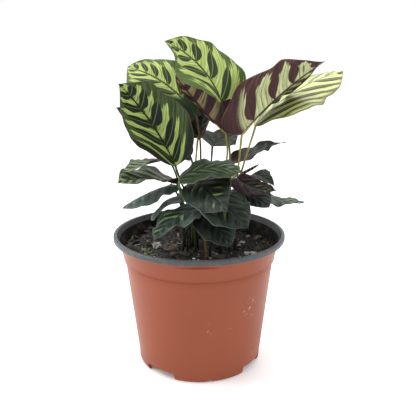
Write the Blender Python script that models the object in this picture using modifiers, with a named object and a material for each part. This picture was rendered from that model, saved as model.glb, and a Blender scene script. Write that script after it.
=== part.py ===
"""A potted peacock calathea: a two-tone nursery pot, its soil, and the leaves on their stems.

The leaves stand in plain holes in the soil. All lengths in the constants and in the leaf table
are in millimetres, and the model is built in metres with +Z up. The origin is the middle of the
pot's base, on the surface it stands on. The front of the plant faces -Y.
"""
import math

import bmesh
import bpy
from mathutils import Matrix, Vector
from mathutils.geometry import interpolate_bezier

MM = 0.001
GAP = 0.3                     # clear space between pieces that touch

# Pot
POT_HEIGHT = 130.0
RIM_RADIUS = 82.5             # outside of the rolled rim
RIM_BAND = 5.0                # height of the rolled rim
RIM_INNER_RADIUS = 78.9
RIM_ROUND = 0.9               # how much the rim's edges are rounded off
WALL = 1.5
COLLAR_TOP_RADIUS = 78.0      # the steep collar under the rim
COLLAR_FOOT_RADIUS = 72.8
COLLAR_FOOT_HEIGHT = 106.4
BODY_TOP_RADIUS = 71.4        # the plain cone below the collar's ledge
BODY_FOOT_RADIUS = 60.2
LEDGE_DROP = 0.8              # height of the ledge's slanted underside
FOOT_RADIUS = 57.0            # middle of the ring that stands on the table
FOOT_HALF_WIDTH = 0.7
FOOT_HEIGHT = 8.2             # the floor's underside is this far above the table
FLOOR_TOP = FOOT_HEIGHT + WALL
PAD_RADIUS = 13.0             # flat pad in the middle of the base
TURNS = 40                    # facets round the pot and the soil

# Openings in the pot's foot and floor, at angles in degrees from +X
NOTCH_ANGLES = (50.0, 150.0, 230.0, 330.0)
NOTCH_WIDTH = 33.0
NOTCH_HEIGHT = 7.4
ARCH_COUNT = 6
ARCH_START = 280.0
ARCH_RADIUS = 2.6
DRAIN_COUNT = 8
DRAIN_RING_RADIUS = 36.0
DRAIN_RADIUS = 4.5
FOOT_CUT_DEPTH = 12.0         # cutters reach through the foot ring by this much in all
FLOOR_CUT_DEPTH = 6.0

# Soil
SOIL_EDGE_HEIGHT = 113.0
SOIL_CROWN_HEIGHT = 116.0
SOIL_DOME = ((0, 0), (36, 0.6), (58, 2.0))   # radius, and how far the soil has fallen from its crown

# Stems
STEM_FOOT_HEIGHT = 100.0      # the buried end
STEM_CLEAR_HEIGHT = 120.0     # straight up to here, above the soil
STEM_FOOT_RADIUS = 1.9
STEM_TOP_RADIUS = 1.25
STEM_TAIL = ((0.05, 1.0), (0.12, 0.7))   # place along the midrib and radius of the stem's run-out
STEM_POINTS = 7               # points of its curved stretch
STEM_PULL = (0.45, 0.33)      # how far the curve keeps its first and last direction
STEM_SPREAD = 0.25            # share of the way to the blade that the straight foot leans
STEM_RISE = 20.0              # added to the height it climbs, so that it starts steeply
HOLE_CLEARANCE = 0.5
HOLE_SIDES = 8

# Blades
BLADE_THICKNESS = 0.9
LONG_BLADE = 72.0             # blades from this length up get the finer grid
LONG_BLADE_GRID = (12, 6)     # faces along the blade and across it
SHORT_BLADE_GRID = (10, 4)
TIP_HALF_WIDTH = 0.9
BASE_ROUNDNESS = 0.44         # below 0.5 gives a blunt, rounded base
TIP_LENGTH = 0.14             # share of the length over which the tip is drawn out to a point
TIP_DRAW = 0.4
EDGE_STATIONS = (0.1, 0.3, 0.5, 0.7, 0.88)   # places along a blade at which its edges are set
EVEN_EDGES = ((1, 1, 1, 1, 1), (1, 1, 1, 1, 1))
FOLD_EASE = 0.35              # how much of the fold is lost towards the tip
LOBE_REACH = 2.8              # brings the margin's furthest point back by the lobe's size
WAVE_LEAD = 0.37              # the left margin's waves run ahead by this share of a wave
WAVE_FADE = 0.6               # the waves fade towards the base and the tip

# Each leaf: where its blade starts and ends, which way its upper side faces, the width of its left
# and right halves, how steeply and how roundly each half rises from the midrib (degrees), the
# rounded lobes at its base, how far the midrib bows up and sideways, where along its length it is
# widest, its twist (degrees), the height, number and phase of its margin waves, how far each edge
# stands out at the stations as a share of the even outline, where its stem leaves the soil, and how
# far the stem's top leans into the blade. Left and right are as seen from above the blade, looking
# from its stem to its tip.
LEAVES = {
    "leaf_tall_left": dict(
        base=(-21, -34, 203), tip=(-69, -31, 275), up=(0.27, -0.9, 0.35), half=(33, 34),
        fold=(33, 38), curl=(14, 17), lobe=(2, 2), arch=-10, sway=7, widest=0.41, twist=-9,
        wave=(2, 2.5, 0.23), edges=((0.92, 1.06, 1.02, 1.05, 0.98), (1.01, 1, 0.98, 0.88, 1.13)),
        root=(-1, -2), lean=0),
    "leaf_tall_top": dict(
        base=(20, -10, 257), tip=(-29, -27, 311), up=(0.33, -0.77, 0.55), half=(26, 29),
        fold=(17, 40), curl=(7, 15), lobe=(2, 2), arch=3, sway=7, widest=0.39, twist=-22,
        wave=(3.3, 2.5, 0.6), edges=((0.68, 0.75, 1.28, 1.32, 0.68), (1.32, 0.9, 0.84, 0.68, 0.79)),
        root=(29, -10), lean=3.4),
    "leaf_tall_back": dict(
        base=(25, -6, 227), tip=(-20, -8, 279), up=(0.58, 0.77, 0.28), half=(26, 14),
        fold=(40, 40), curl=(0, 1), lobe=(6, 2), arch=2.5, sway=4.7, widest=0.47, twist=5,
        wave=(1.5, 2.5, 0.9), edges=EVEN_EDGES, root=(12, 5), lean=0.5),
    "leaf_tall_right": dict(
        base=(38.5, -24, 229), tip=(112, -11, 292.5), up=(-0.59, 0.8, 0.12), half=(37, 34),
        fold=(64, 55), curl=(-13, 3), lobe=(0, 12.5), arch=-8, sway=11, widest=0.34, twist=-4,
        wave=(3.3, 2.5, 0.34), edges=((1, 1, 1.02, 1.45, 0.6), (0.88, 0.9, 0.86, 0.92, 0.72)),
        root=(34, -6), lean=0.1),
    "leaf_outer_right": dict(
        base=(52.5, -3, 233.5), tip=(135, 20, 281), up=(-0.46, -0.22, 0.86), half=(21, 36),
        fold=(-3, -1), curl=(-13, -9), lobe=(0, 2), arch=6, sway=-5, widest=0.52, twist=20,
        wave=(1.6, 2, 0.43), edges=((1.6, 1.3, 0.9, 0.75, 0.68), (0.68, 1.24, 1.32, 0.99, 1.01)),
        root=(29, -3), lean=0.2),
    "leaf_tall_behind": dict(
        base=(-2, 12, 239), tip=(-67, 28, 284), up=(0.04, -0.71, 0.7), half=(32, 26),
        fold=(4, 3), curl=(-1, 7), lobe=(2, 2), arch=9, sway=4, widest=0.47, twist=20,
        wave=(2.8, 2.5, 0.79), edges=((1, 1, 1, 1, 1.1), (1, 1, 0.96, 0.97, 0.97)),
        root=(-2, 12), lean=0.6),
    "leaf_behind_left": dict(
        base=(-8, 4, 203), tip=(-76, 2, 250), up=(0, -0.35, 0.95), half=(20, 22),
        fold=(10, 10), curl=(5, 10), lobe=(2, 2), arch=3, sway=-2, widest=0.4, twist=0,
        wave=(1, 2.5, 0.1), edges=EVEN_EDGES, root=(-6, 2), lean=0.6),
    "leaf_curled": dict(
        base=(-1, 25, 217), tip=(7, 30, 250), up=(-0.25, -0.95, 0.1), half=(13, 19),
        fold=(10, 15), curl=(10, 110), lobe=(2, 2), arch=1, sway=0, widest=0.5, twist=0,
        wave=(1, 2, 0.4), edges=EVEN_EDGES, root=(-6, 27), lean=0.5),
    "leaf_level": dict(
        base=(13, 20, 210), tip=(46, 82, 210), up=(0, 0, 1), half=(18, 20),
        fold=(35, 10), curl=(5, -20), lobe=(2, 2), arch=1, sway=-6, widest=0.25, twist=0,
        wave=(1.5, 2.5, 0.2), edges=EVEN_EDGES, root=(12, 13), lean=0.6),
    "leaf_middle_right": dict(
        base=(32.5, 18.5, 193), tip=(87.5, 49, 208), up=(-0.24, -0.17, 0.9), half=(17, 17),
        fold=(10, 12), curl=(12, -26), lobe=(1.5, 2.8), arch=4.3, sway=0.6, widest=0.21, twist=49,
        wave=(2, 2.3, 0.34), edges=((1.02, 0.9, 0.85, 1.06, 1.09), (1.09, 1.04, 0.84, 0.55, 1.24)),
        root=(20, 12), lean=0.6),
    "leaf_young_rolled": dict(
        base=(39, 5, 185), tip=(56, -4, 197), up=(-0.3, -0.3, 0.9), half=(2.6, 2.6),
        fold=(60, 60), curl=(100, 100), lobe=(0, 0), arch=-1, sway=0, widest=0.4, twist=0,
        wave=(0, 1, 0), edges=EVEN_EDGES, root=(31, 2), lean=0.6),
    "leaf_middle_left": dict(
        base=(-21.5, -11, 181.5), tip=(-71.5, -45, 190), up=(-0.21, -0.21, 1.05), half=(20, 20),
        fold=(12, 19), curl=(4, 11), lobe=(2, 2), arch=3.7, sway=2.1, widest=0.4, twist=-17,
        wave=(2.5, 2.1, 0.56), edges=((0.9, 1.1, 0.95, 1.05, 0.79), (0.97, 1, 0.95, 1, 1.07)),
        root=(-8, -5), lean=1.2),
    "leaf_upper_left": dict(
        base=(-28, -7, 203), tip=(-69, -34, 197), up=(-0.13, 0.11, 0.74), half=(16, 17),
        fold=(6, 13), curl=(12, 15), lobe=(2.7, 1.1), arch=1.9, sway=-5.3, widest=0.39, twist=-29,
        wave=(0.6, 1.8, 0.88), edges=((0.9, 0.86, 1.14, 1.07, 1.38), (0.97, 0.93, 1, 1.26, 0.93)),
        root=(-14, 5), lean=0.6),
    "leaf_low_left": dict(
        base=(-26, -7, 179), tip=(-68, -46, 167), up=(-0.16, -0.07, 0.98), half=(20, 24),
        fold=(-3, -30), curl=(-15, -19), lobe=(1.9, 2.2), arch=3.5, sway=-2, widest=0.43, twist=-7,
        wave=(1.1, 2.7, 0.71), edges=((1.03, 0.95, 0.86, 1.07, 1.1), (1.15, 1.07, 1.17, 1.13, 0.9)),
        root=(-14, -2), lean=0.7),
    "leaf_small_left": dict(
        base=(-17, -14, 166.5), tip=(-41, -34.5, 152.5), up=(-0.48, 0.07, 0.49), half=(14, 15),
        fold=(-5, 17), curl=(-12, -11), lobe=(1.7, 2.2), arch=4.2, sway=2.8, widest=0.46, twist=30,
        wave=(0, 2.4, 0.98), edges=((0.97, 1.15, 0.89, 0.99, 0.93), (1.09, 1.16, 0.81, 1.12, 1.07)),
        root=(-11, -13), lean=0.4),
    "leaf_drooping_left": dict(
        base=(-3, -44, 166), tip=(-39, -79, 147), up=(-0.4, -0.3, 0.85), half=(20, 20),
        fold=(5, 5), curl=(-15, -10), lobe=(2, 2), arch=1, sway=7, widest=0.25, twist=0,
        wave=(2, 2.5, 0.3), edges=EVEN_EDGES, root=(-16, -17), lean=0.4),
    "leaf_crown": dict(
        base=(-17.5, -36, 192), tip=(38.5, -39, 198.5), up=(0.02, -0.22, 0.86), half=(23, 25),
        fold=(-1, 10), curl=(-14, -3), lobe=(0, 0.8), arch=7.1, sway=-0.6, widest=0.47, twist=-9,
        wave=(1.6, 2, 0.25), edges=((0.9, 1.01, 0.93, 0.94, 1.1), (1.13, 1.03, 1.08, 1.06, 1.01)),
        root=(-3, -14), lean=0.4),
    "leaf_front_upper": dict(
        base=(-4.5, -24, 187.5), tip=(24, -85, 175.5), up=(-0.06, -0.71, 0.44), half=(24, 22),
        fold=(-5, -1), curl=(-9, -19), lobe=(1.8, 2.3), arch=3.8, sway=-0.3, widest=0.33, twist=23,
        wave=(1.4, 2.4, 0.02), edges=((1.06, 0.91, 1.01, 0.94, 0.86), (0.93, 0.92, 0.95, 1.03, 1.1)),
        root=(6, -24), lean=0.5),
    "leaf_front_right": dict(
        base=(12, -38, 181), tip=(42, -79, 159), up=(0.25, -0.75, 0.65), half=(23, 23),
        fold=(0, 0), curl=(-15, -15), lobe=(2, 2), arch=5, sway=4, widest=0.4, twist=0,
        wave=(2, 2.5, 0.15), edges=EVEN_EDGES, root=(10, -30), lean=0.7),
    "leaf_front_low": dict(
        base=(4, -39, 162), tip=(28, -70, 139), up=(0.3, -0.7, 0.65), half=(18, 18),
        fold=(-5, -5), curl=(-15, -15), lobe=(2, 2), arch=4, sway=1, widest=0.4, twist=-5,
        wave=(1.5, 2.5, 0.25), edges=EVEN_EDGES, root=(6, -34), lean=0.5),
    "leaf_side_right": dict(
        base=(47.5, 3, 183.5), tip=(70, -22.5, 180.5), up=(0.06, -0.13, 1.22), half=(12, 14),
        fold=(21, 12), curl=(-11, -10), lobe=(0.4, 0), arch=6.3, sway=2.4, widest=0.31, twist=-12,
        wave=(0.4, 1.9, 0.44), edges=((0.93, 0.99, 1.11, 0.97, 1.13), (0.4, 0.58, 0.92, 1.14, 1.45)),
        root=(27, 8), lean=0.8),
    "leaf_striped_right": dict(
        base=(34.5, -26.5, 189.5), tip=(68.5, -45.5, 183), up=(0.2, -0.2, 0.95), half=(13, 16),
        fold=(15, 3), curl=(13, -20), lobe=(1.1, 2.4), arch=-3.6, sway=0.2, widest=0.32, twist=-3,
        wave=(0.5, 2.3, 0.87), edges=((1.01, 0.92, 0.91, 1.27, 1.37), (1.1, 0.96, 1.03, 1.12, 1.02)),
        root=(19, -11), lean=0.7),
    "leaf_pointed_right": dict(
        base=(56, 6, 165.5), tip=(98, -20, 165), up=(-0.01, -0.05, 1.08), half=(13, 13),
        fold=(0, 4), curl=(-17, -13), lobe=(1.6, 1.2), arch=-1.3, sway=1.1, widest=0.54, twist=-4,
        wave=(1.7, 2.3, 0.34), edges=((0.86, 0.85, 1.06, 0.85, 0.77), (1.1, 0.94, 1.23, 0.86, 0.88)),
        root=(34, 8), lean=0.6),
    "leaf_dark_right": dict(
        base=(28.5, -21.5, 176.5), tip=(62, -49, 168.5), up=(0.13, -0.31, 0.9), half=(20, 18),
        fold=(-1, 8), curl=(-10, -11), lobe=(2.2, 2.3), arch=4.2, sway=0.2, widest=0.5, twist=-2,
        wave=(1.5, 2.1, 0.41), edges=((0.91, 0.95, 1, 1.04, 0.96), (1.04, 1.03, 0.83, 0.79, 1.02)),
        root=(20, -22), lean=0.6),
    "leaf_rear_left": dict(
        base=(0, 34, 148), tip=(-6, 94, 134), up=(0, 0.25, 0.95), half=(21, 21),
        fold=(10, 10), curl=(-10, -10), lobe=(2, 2), arch=7, sway=0, widest=0.4, twist=0,
        wave=(2, 3, 0), edges=EVEN_EDGES, root=(0, 21), lean=0.6),
    "leaf_rear_right": dict(
        base=(36, 30, 150), tip=(66, 84, 138), up=(0.2, 0.25, 0.95), half=(21, 21),
        fold=(10, 10), curl=(-10, -10), lobe=(2, 2), arch=8, sway=0, widest=0.4, twist=0,
        wave=(2, 3, 0), edges=EVEN_EDGES, root=(25, 20), lean=0.6),
    "leaf_rear_middle": dict(
        base=(18, 40, 166), tip=(28, 104, 166), up=(0, 0.2, 1), half=(21, 21),
        fold=(10, 10), curl=(-10, -10), lobe=(2, 2), arch=9, sway=0, widest=0.4, twist=0,
        wave=(2, 3, 0), edges=EVEN_EDGES, root=(11, 22), lean=0.6),
}

# Colours, as sRGB hex, with roughness
POT_LOOK = ("a65a42", 0.45)
SOIL_LOOK = ("2b221c", 0.95)
BRIGHT_LEAF_LOOK = ("8fae58", 0.4)      # pale yellow-green field of the upper side
DARK_LEAF_LOOK = ("2f4a35", 0.4)        # shaded low leaves
MAROON_LEAF_LOOK = ("6b3f42", 0.5)      # leaves that turn their underside to the front
MAROON_LEAVES = ("leaf_tall_back", "leaf_tall_right")
BRIGHT_LEAVES = ("leaf_tall_left", "leaf_tall_top", "leaf_outer_right", "leaf_tall_behind")


def clear_scene():
    """Remove every object that the scene starts with."""
    for item in list(bpy.data.objects):
        bpy.data.objects.remove(item, do_unlink=True)


def new_collection(name):
    collection = bpy.data.collections.new(name)
    bpy.context.scene.collection.children.link(collection)
    return collection


def new_object(name, mesh, collection):
    item = bpy.data.objects.new(name, mesh)
    collection.objects.link(item)
    return item


def srgb_to_linear(hex_colour):
    """Turn an sRGB hex colour into Blender's linear RGBA."""
    channels = [int(hex_colour[i:i + 2], 16) / 255 for i in (0, 2, 4)]
    linear = [c / 12.92 if c <= 0.04045 else ((c + 0.055) / 1.055) ** 2.4 for c in channels]
    return (*linear, 1.0)


def paint(item, look):
    """Give an object its own plain Principled material."""
    hex_colour, roughness = look
    material = bpy.data.materials.new(item.name)
    material.use_nodes = True
    shader = material.node_tree.nodes["Principled BSDF"]
    shader.inputs["Base Color"].default_value = srgb_to_linear(hex_colour)
    shader.inputs["Roughness"].default_value = roughness
    shader.inputs["Metallic"].default_value = 0.0
    material.diffuse_color = srgb_to_linear(hex_colour)
    item.data.materials.clear()
    item.data.materials.append(material)


def bake(item):
    """Replace an object's mesh by its evaluated mesh and drop its modifiers."""
    evaluated = item.evaluated_get(bpy.context.evaluated_depsgraph_get())
    mesh = bpy.data.meshes.new_from_object(evaluated)
    item.modifiers.clear()
    item.data = mesh


def turned(name, profile, collection):
    """Turn a profile of (radius, height) points round the Z axis."""
    mesh = bpy.data.meshes.new(name)
    points = [(radius * MM, 0, height * MM) for radius, height in profile]
    mesh.from_pydata(points, [(i, i + 1) for i in range(len(points) - 1)], [])
    item = new_object(name, mesh, collection)
    screw = item.modifiers.new("Turn", "SCREW")
    screw.axis = "Z"
    screw.angle = math.tau
    screw.steps = TURNS
    screw.render_steps = TURNS
    screw.use_merge_vertices = True
    screw.merge_threshold = 0.00001
    return item


def add_cutter(name, mesh_kind, size, place, collection):
    """Make a hidden box or cylinder that another piece is cut with."""
    mesh = bpy.data.meshes.new(name)
    shape = bmesh.new()
    if mesh_kind == "box":
        bmesh.ops.create_cube(shape, size=MM)
        bmesh.ops.scale(shape, vec=size, verts=shape.verts)
    else:
        radius, length, sides = size
        bmesh.ops.create_cone(shape, cap_ends=True, segments=sides, radius1=radius * MM,
                              radius2=radius * MM, depth=length * MM)
    bmesh.ops.transform(shape, matrix=place, verts=shape.verts)
    shape.to_mesh(mesh)
    shape.free()
    item = new_object(name, mesh, collection)
    item.hide_render = True
    item.display_type = "WIRE"
    return item


def cut_with(item, cutters):
    difference = item.modifiers.new("Cut", "BOOLEAN")
    difference.operation = "DIFFERENCE"
    difference.solver = "EXACT"
    difference.operand_type = "COLLECTION"
    difference.collection = cutters


def smooth(item, angle):
    """Shade a piece smooth, apart from its sharp edges."""
    item.data.shade_smooth()
    item.data.set_sharp_from_angle(angle=math.radians(angle))


def inner_collar_radius(height):
    """Radius of the pot's inside between the ledge and the rim."""
    low = COLLAR_FOOT_HEIGHT + WALL
    high = POT_HEIGHT - RIM_BAND
    share = (height - low) / (high - low)
    return COLLAR_FOOT_RADIUS - WALL + share * (COLLAR_TOP_RADIUS - COLLAR_FOOT_RADIUS)


def make_pot(collection, cutters):
    """Rolled rim, steep collar, ledge, plain cone and a notched foot, as one thin shell."""
    ledge = COLLAR_FOOT_HEIGHT
    rim_foot = POT_HEIGHT - RIM_BAND
    profile = [
        (0, FLOOR_TOP),
        (BODY_FOOT_RADIUS - WALL, FLOOR_TOP),
        (BODY_TOP_RADIUS - WALL, ledge),
        (COLLAR_FOOT_RADIUS - WALL, ledge + WALL),
        (COLLAR_TOP_RADIUS - WALL, rim_foot),
        (RIM_INNER_RADIUS, POT_HEIGHT - RIM_ROUND),
        (RIM_INNER_RADIUS + RIM_ROUND, POT_HEIGHT),
        (RIM_RADIUS - RIM_ROUND, POT_HEIGHT),
        (RIM_RADIUS, POT_HEIGHT - RIM_ROUND),
        (RIM_RADIUS, rim_foot + RIM_ROUND),
        (RIM_RADIUS - RIM_ROUND, rim_foot),
        (COLLAR_TOP_RADIUS + RIM_ROUND, rim_foot),
        (COLLAR_TOP_RADIUS, rim_foot - RIM_ROUND),
        (COLLAR_FOOT_RADIUS, ledge),
        (BODY_TOP_RADIUS, ledge - LEDGE_DROP),
        (BODY_FOOT_RADIUS, FLOOR_TOP),
        (BODY_FOOT_RADIUS - 0.4, FOOT_HEIGHT / 2),
        (FOOT_RADIUS + FOOT_HALF_WIDTH + 1.0, 1.0),
        (FOOT_RADIUS + FOOT_HALF_WIDTH, 0),
        (FOOT_RADIUS - FOOT_HALF_WIDTH, 0),
        (FOOT_RADIUS - FOOT_HALF_WIDTH - 0.2, FOOT_HEIGHT),
        (PAD_RADIUS + 0.5, FOOT_HEIGHT),
        (PAD_RADIUS, 0),
        (0, 0),
    ]
    pot = turned("pot", profile, collection)
    for index, degrees in enumerate(NOTCH_ANGLES):
        turn = Matrix.Rotation(math.radians(degrees), 4, "Z")
        place = turn @ Matrix.Translation((FOOT_RADIUS * MM, 0, 0))
        size = (FOOT_CUT_DEPTH, NOTCH_WIDTH, 2 * NOTCH_HEIGHT)
        add_cutter(f"notch_{index}", "box", size, place, cutters)
    for index in range(ARCH_COUNT):
        degrees = ARCH_START + index * 360 / ARCH_COUNT
        turn = Matrix.Rotation(math.radians(degrees), 4, "Z")
        place = turn @ Matrix.Translation((FOOT_RADIUS * MM, 0, 0))
        place = place @ Matrix.Rotation(math.radians(90), 4, "Y")
        add_cutter(f"arch_{index}", "cylinder", (ARCH_RADIUS, FOOT_CUT_DEPTH, 8), place, cutters)
    for index in range(DRAIN_COUNT):
        turn = Matrix.Rotation(math.tau * (index + 0.5) / DRAIN_COUNT, 4, "Z")
        place = turn @ Matrix.Translation((DRAIN_RING_RADIUS * MM, 0, FLOOR_TOP * MM))
        add_cutter(f"drain_{index}", "cylinder", (DRAIN_RADIUS, FLOOR_CUT_DEPTH, 12), place, cutters)
    cut_with(pot, cutters)
    bake(pot)
    smooth(pot, 30)
    paint(pot, POT_LOOK)
    return pot


def make_soil(collection, cutters):
    """Soil that fills the pot, slightly higher in the middle, with a hole for each stem."""
    ledge = COLLAR_FOOT_HEIGHT
    profile = [
        *[(radius, SOIL_CROWN_HEIGHT - fall) for radius, fall in SOIL_DOME],
        (inner_collar_radius(SOIL_EDGE_HEIGHT) - GAP, SOIL_EDGE_HEIGHT),
        (BODY_TOP_RADIUS - WALL - GAP, ledge + GAP),
        (BODY_FOOT_RADIUS - WALL - GAP, FLOOR_TOP + GAP),
        (0, FLOOR_TOP + GAP),
    ]
    soil = turned("soil", profile, collection)
    for name, leaf in LEAVES.items():
        foot, ground = stem_foot(leaf)
        along = (ground - foot).normalized()
        start = foot - along * HOLE_CLEARANCE
        length = (ground - start).length
        radius = STEM_FOOT_RADIUS + HOLE_CLEARANCE
        place = Matrix.Translation((start + along * length / 2) * MM)
        place = place @ along.to_track_quat("Z", "Y").to_matrix().to_4x4()
        add_cutter(f"hole_{name}", "cylinder", (radius, length, HOLE_SIDES), place, cutters)
    cut_with(soil, cutters)
    bake(soil)
    smooth(soil, 40)
    paint(soil, SOIL_LOOK)
    return soil


def stem_foot(leaf):
    """The buried end of a stem, and the point above the soil up to which it is straight."""
    foot = Vector((*leaf["root"], STEM_FOOT_HEIGHT))
    reach = Vector(leaf["base"]) - foot
    direction = Vector((reach.x * STEM_SPREAD, reach.y * STEM_SPREAD, reach.z + STEM_RISE)).normalized()
    ground = foot + direction * (STEM_CLEAR_HEIGHT - STEM_FOOT_HEIGHT) / direction.z
    return foot, ground


def half_width(leaf, s, side):
    """Half width of the blade at the fraction s of its length, blunt at the base, pointed at the tip."""
    widest = leaf["widest"]
    a = BASE_ROUNDNESS
    b = a * (1 - widest) / widest
    peak = widest ** a * (1 - widest) ** b
    even = s ** a * (1 - s) ** b / peak * min((1 - s) / TIP_LENGTH, 1) ** TIP_DRAW
    return leaf["half"][side] * even * edge_share(leaf["edges"][side], s)


def edge_share(shares, s):
    """How far an edge stands out at the fraction s, eased from one station to the next."""
    spans = zip(EDGE_STATIONS, EDGE_STATIONS[1:], shares, shares[1:])
    for start, end, first, second in spans:
        if s <= end:
            way = min(max((s - start) / (end - start), 0), 1)
            return first + (second - first) * way * way * (3 - 2 * way)
    return shares[-1]


def midrib(leaf, s):
    """Point on the midrib, its tangent, the upper side's normal and the direction to the right."""
    base = Vector(leaf["base"])
    chord = Vector(leaf["tip"]) - base
    forward = chord.normalized()
    up = Vector(leaf["up"])
    up = (up - forward * up.dot(forward)).normalized()
    right = forward.cross(up)
    bow = leaf["arch"] * up + leaf["sway"] * right
    point = base + chord * s + bow * 4 * s * (1 - s)
    tangent = (chord + bow * (4 - 8 * s)).normalized()
    turn = math.radians(leaf["twist"]) * (s - 0.5)
    normal = up * math.cos(turn) + right * math.sin(turn)
    normal = (normal - tangent * normal.dot(tangent)).normalized()
    return point, tangent, normal, tangent.cross(normal)


def blade_point(leaf, s, across):
    """Point on the blade's middle surface; across runs from -1 at the left margin to 1."""
    point, tangent, normal, right = midrib(leaf, s)
    side = 0 if across < 0 else 1
    sign = -1 if across < 0 else 1
    out = abs(across)
    width = max(half_width(leaf, s, side), TIP_HALF_WIDTH)
    ease = 1 - FOLD_EASE * s
    rise = math.radians(leaf["fold"][side]) * ease
    bend = math.radians(leaf["curl"][side]) * ease + 1e-6
    sideways = width * (math.sin(rise + bend * out) - math.sin(rise)) / bend
    lift = width * (math.cos(rise) - math.cos(rise + bend * out)) / bend
    height, count, phase = leaf["wave"]
    if side == 0:
        phase += WAVE_LEAD
    swell = max(math.sin(math.pi * s), 0) ** WAVE_FADE
    lift += height * math.sin(math.tau * (count * s + phase)) * out ** 2 * swell
    back = leaf["lobe"][side] * out * width / leaf["half"][side] * (1 - s) ** 4 * LOBE_REACH
    return point + right * sign * sideways + normal * lift - tangent * back


def make_blade(name, leaf, collection):
    """A waved blade: a grid laid on the leaf's surface, in triangles alike on both faces."""
    shape = bmesh.new()
    length = (Vector(leaf["tip"]) - Vector(leaf["base"])).length
    rows, columns = LONG_BLADE_GRID if length > LONG_BLADE else SHORT_BLADE_GRID
    bmesh.ops.create_grid(shape, x_segments=rows, y_segments=columns, size=1)
    for vertex in shape.verts:
        even = (vertex.co.x + 1) / 2
        s = (even + 0.5 - 0.5 * math.cos(math.pi * even)) / 2
        vertex.co = blade_point(leaf, s, -vertex.co.y) * MM
    bmesh.ops.triangulate(shape, faces=shape.faces)
    mesh = bpy.data.meshes.new(name)
    shape.to_mesh(mesh)
    shape.free()
    blade = new_object(name, mesh, collection)
    thick = blade.modifiers.new("Thickness", "SOLIDIFY")
    thick.thickness = BLADE_THICKNESS * MM
    thick.offset = 0
    return blade


def stem_path(leaf):
    """Points and radii of a stem, from its buried foot to its run-out under the midrib."""
    foot, ground = stem_foot(leaf)
    base = Vector(leaf["base"])
    up = (ground - foot).normalized()
    reach = base - ground
    distance = reach.length
    tangent = midrib(leaf, 0)[1]
    arrival = (reach.normalized() + tangent * leaf["lean"]).normalized()
    curve = interpolate_bezier(ground, ground + up * distance * STEM_PULL[0],
                               base - arrival * distance * STEM_PULL[1], base, STEM_POINTS)
    points = [foot, *curve]
    last = len(points) - 1
    radii = [STEM_FOOT_RADIUS + (STEM_TOP_RADIUS - STEM_FOOT_RADIUS) * i / last
             for i in range(last + 1)]
    for s, radius in STEM_TAIL:
        point, _, normal, _ = midrib(leaf, s)
        points.append(point - normal * BLADE_THICKNESS / 2)
        radii.append(radius)
    return points, radii


def make_stem(name, leaf, collection):
    """A tapering six-sided tube along the stem's path, as a closed mesh."""
    points, radii = stem_path(leaf)
    curve = bpy.data.curves.new(name, "CURVE")
    curve.dimensions = "3D"
    curve.bevel_depth = MM
    curve.bevel_resolution = 1
    curve.use_fill_caps = True
    spline = curve.splines.new("POLY")
    spline.points.add(len(points) - 1)
    for spot, point, radius in zip(spline.points, points, radii):
        spot.co = (*(point * MM), 1)
        spot.radius = radius
    path = new_object(name + "_path", curve, collection)
    evaluated = path.evaluated_get(bpy.context.evaluated_depsgraph_get())
    mesh = bpy.data.meshes.new_from_object(evaluated)
    shape = bmesh.new()
    shape.from_mesh(mesh)
    bmesh.ops.remove_doubles(shape, verts=shape.verts, dist=0.00001)
    shape.to_mesh(mesh)
    shape.free()
    stem = new_object(name + "_stem", mesh, collection)
    stem.matrix_world = path.matrix_world
    bpy.data.objects.remove(path, do_unlink=True)
    return stem


def make_leaf(name, leaf, collection):
    """Fuse a blade and its stem into one solid. The exact solver loses most of these thin blades."""
    blade = make_blade(name, leaf, collection)
    stem = make_stem(name, leaf, collection)
    union = blade.modifiers.new("Join stem", "BOOLEAN")
    union.operation = "UNION"
    union.solver = "MANIFOLD"
    union.object = stem
    bake(blade)
    bpy.data.objects.remove(stem, do_unlink=True)
    smooth(blade, 50)
    if name in MAROON_LEAVES:
        paint(blade, MAROON_LEAF_LOOK)
    elif name in BRIGHT_LEAVES:
        paint(blade, BRIGHT_LEAF_LOOK)
    else:
        paint(blade, DARK_LEAF_LOOK)
    return blade


def main():
    clear_scene()
    parts = new_collection("potted_calathea")
    pot_cutters = new_collection("pot_cutters")
    soil_cutters = new_collection("soil_cutters")
    make_pot(parts, pot_cutters)
    make_soil(parts, soil_cutters)
    for name, leaf in LEAVES.items():
        make_leaf(name, leaf, parts)


main()
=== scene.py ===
"""The finished look of a potted peacock calathea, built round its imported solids.

Lengths in the constants and in the leaf table are in millimetres, and meshes are in metres.
The leaf table gives the same leaves as the one that the solids are made from.
"""

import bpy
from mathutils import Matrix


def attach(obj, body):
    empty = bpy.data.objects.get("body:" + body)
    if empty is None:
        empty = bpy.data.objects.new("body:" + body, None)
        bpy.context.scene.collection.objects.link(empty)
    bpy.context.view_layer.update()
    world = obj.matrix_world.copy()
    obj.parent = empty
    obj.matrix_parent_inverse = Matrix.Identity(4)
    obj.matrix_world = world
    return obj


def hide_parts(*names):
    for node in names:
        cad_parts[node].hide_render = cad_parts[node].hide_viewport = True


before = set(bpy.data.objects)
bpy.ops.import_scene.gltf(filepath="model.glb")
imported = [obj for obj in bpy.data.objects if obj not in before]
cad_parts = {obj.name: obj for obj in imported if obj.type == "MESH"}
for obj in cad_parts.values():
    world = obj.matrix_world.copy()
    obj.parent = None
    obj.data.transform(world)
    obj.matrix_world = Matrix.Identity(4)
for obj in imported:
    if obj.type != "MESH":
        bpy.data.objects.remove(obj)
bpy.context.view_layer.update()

import math
from functools import partial

import bmesh
import bpy
import numpy as np
from mathutils import Matrix, Vector, noise
from mathutils.geometry import interpolate_bezier

MM = 0.001
BODY = "root"

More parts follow.
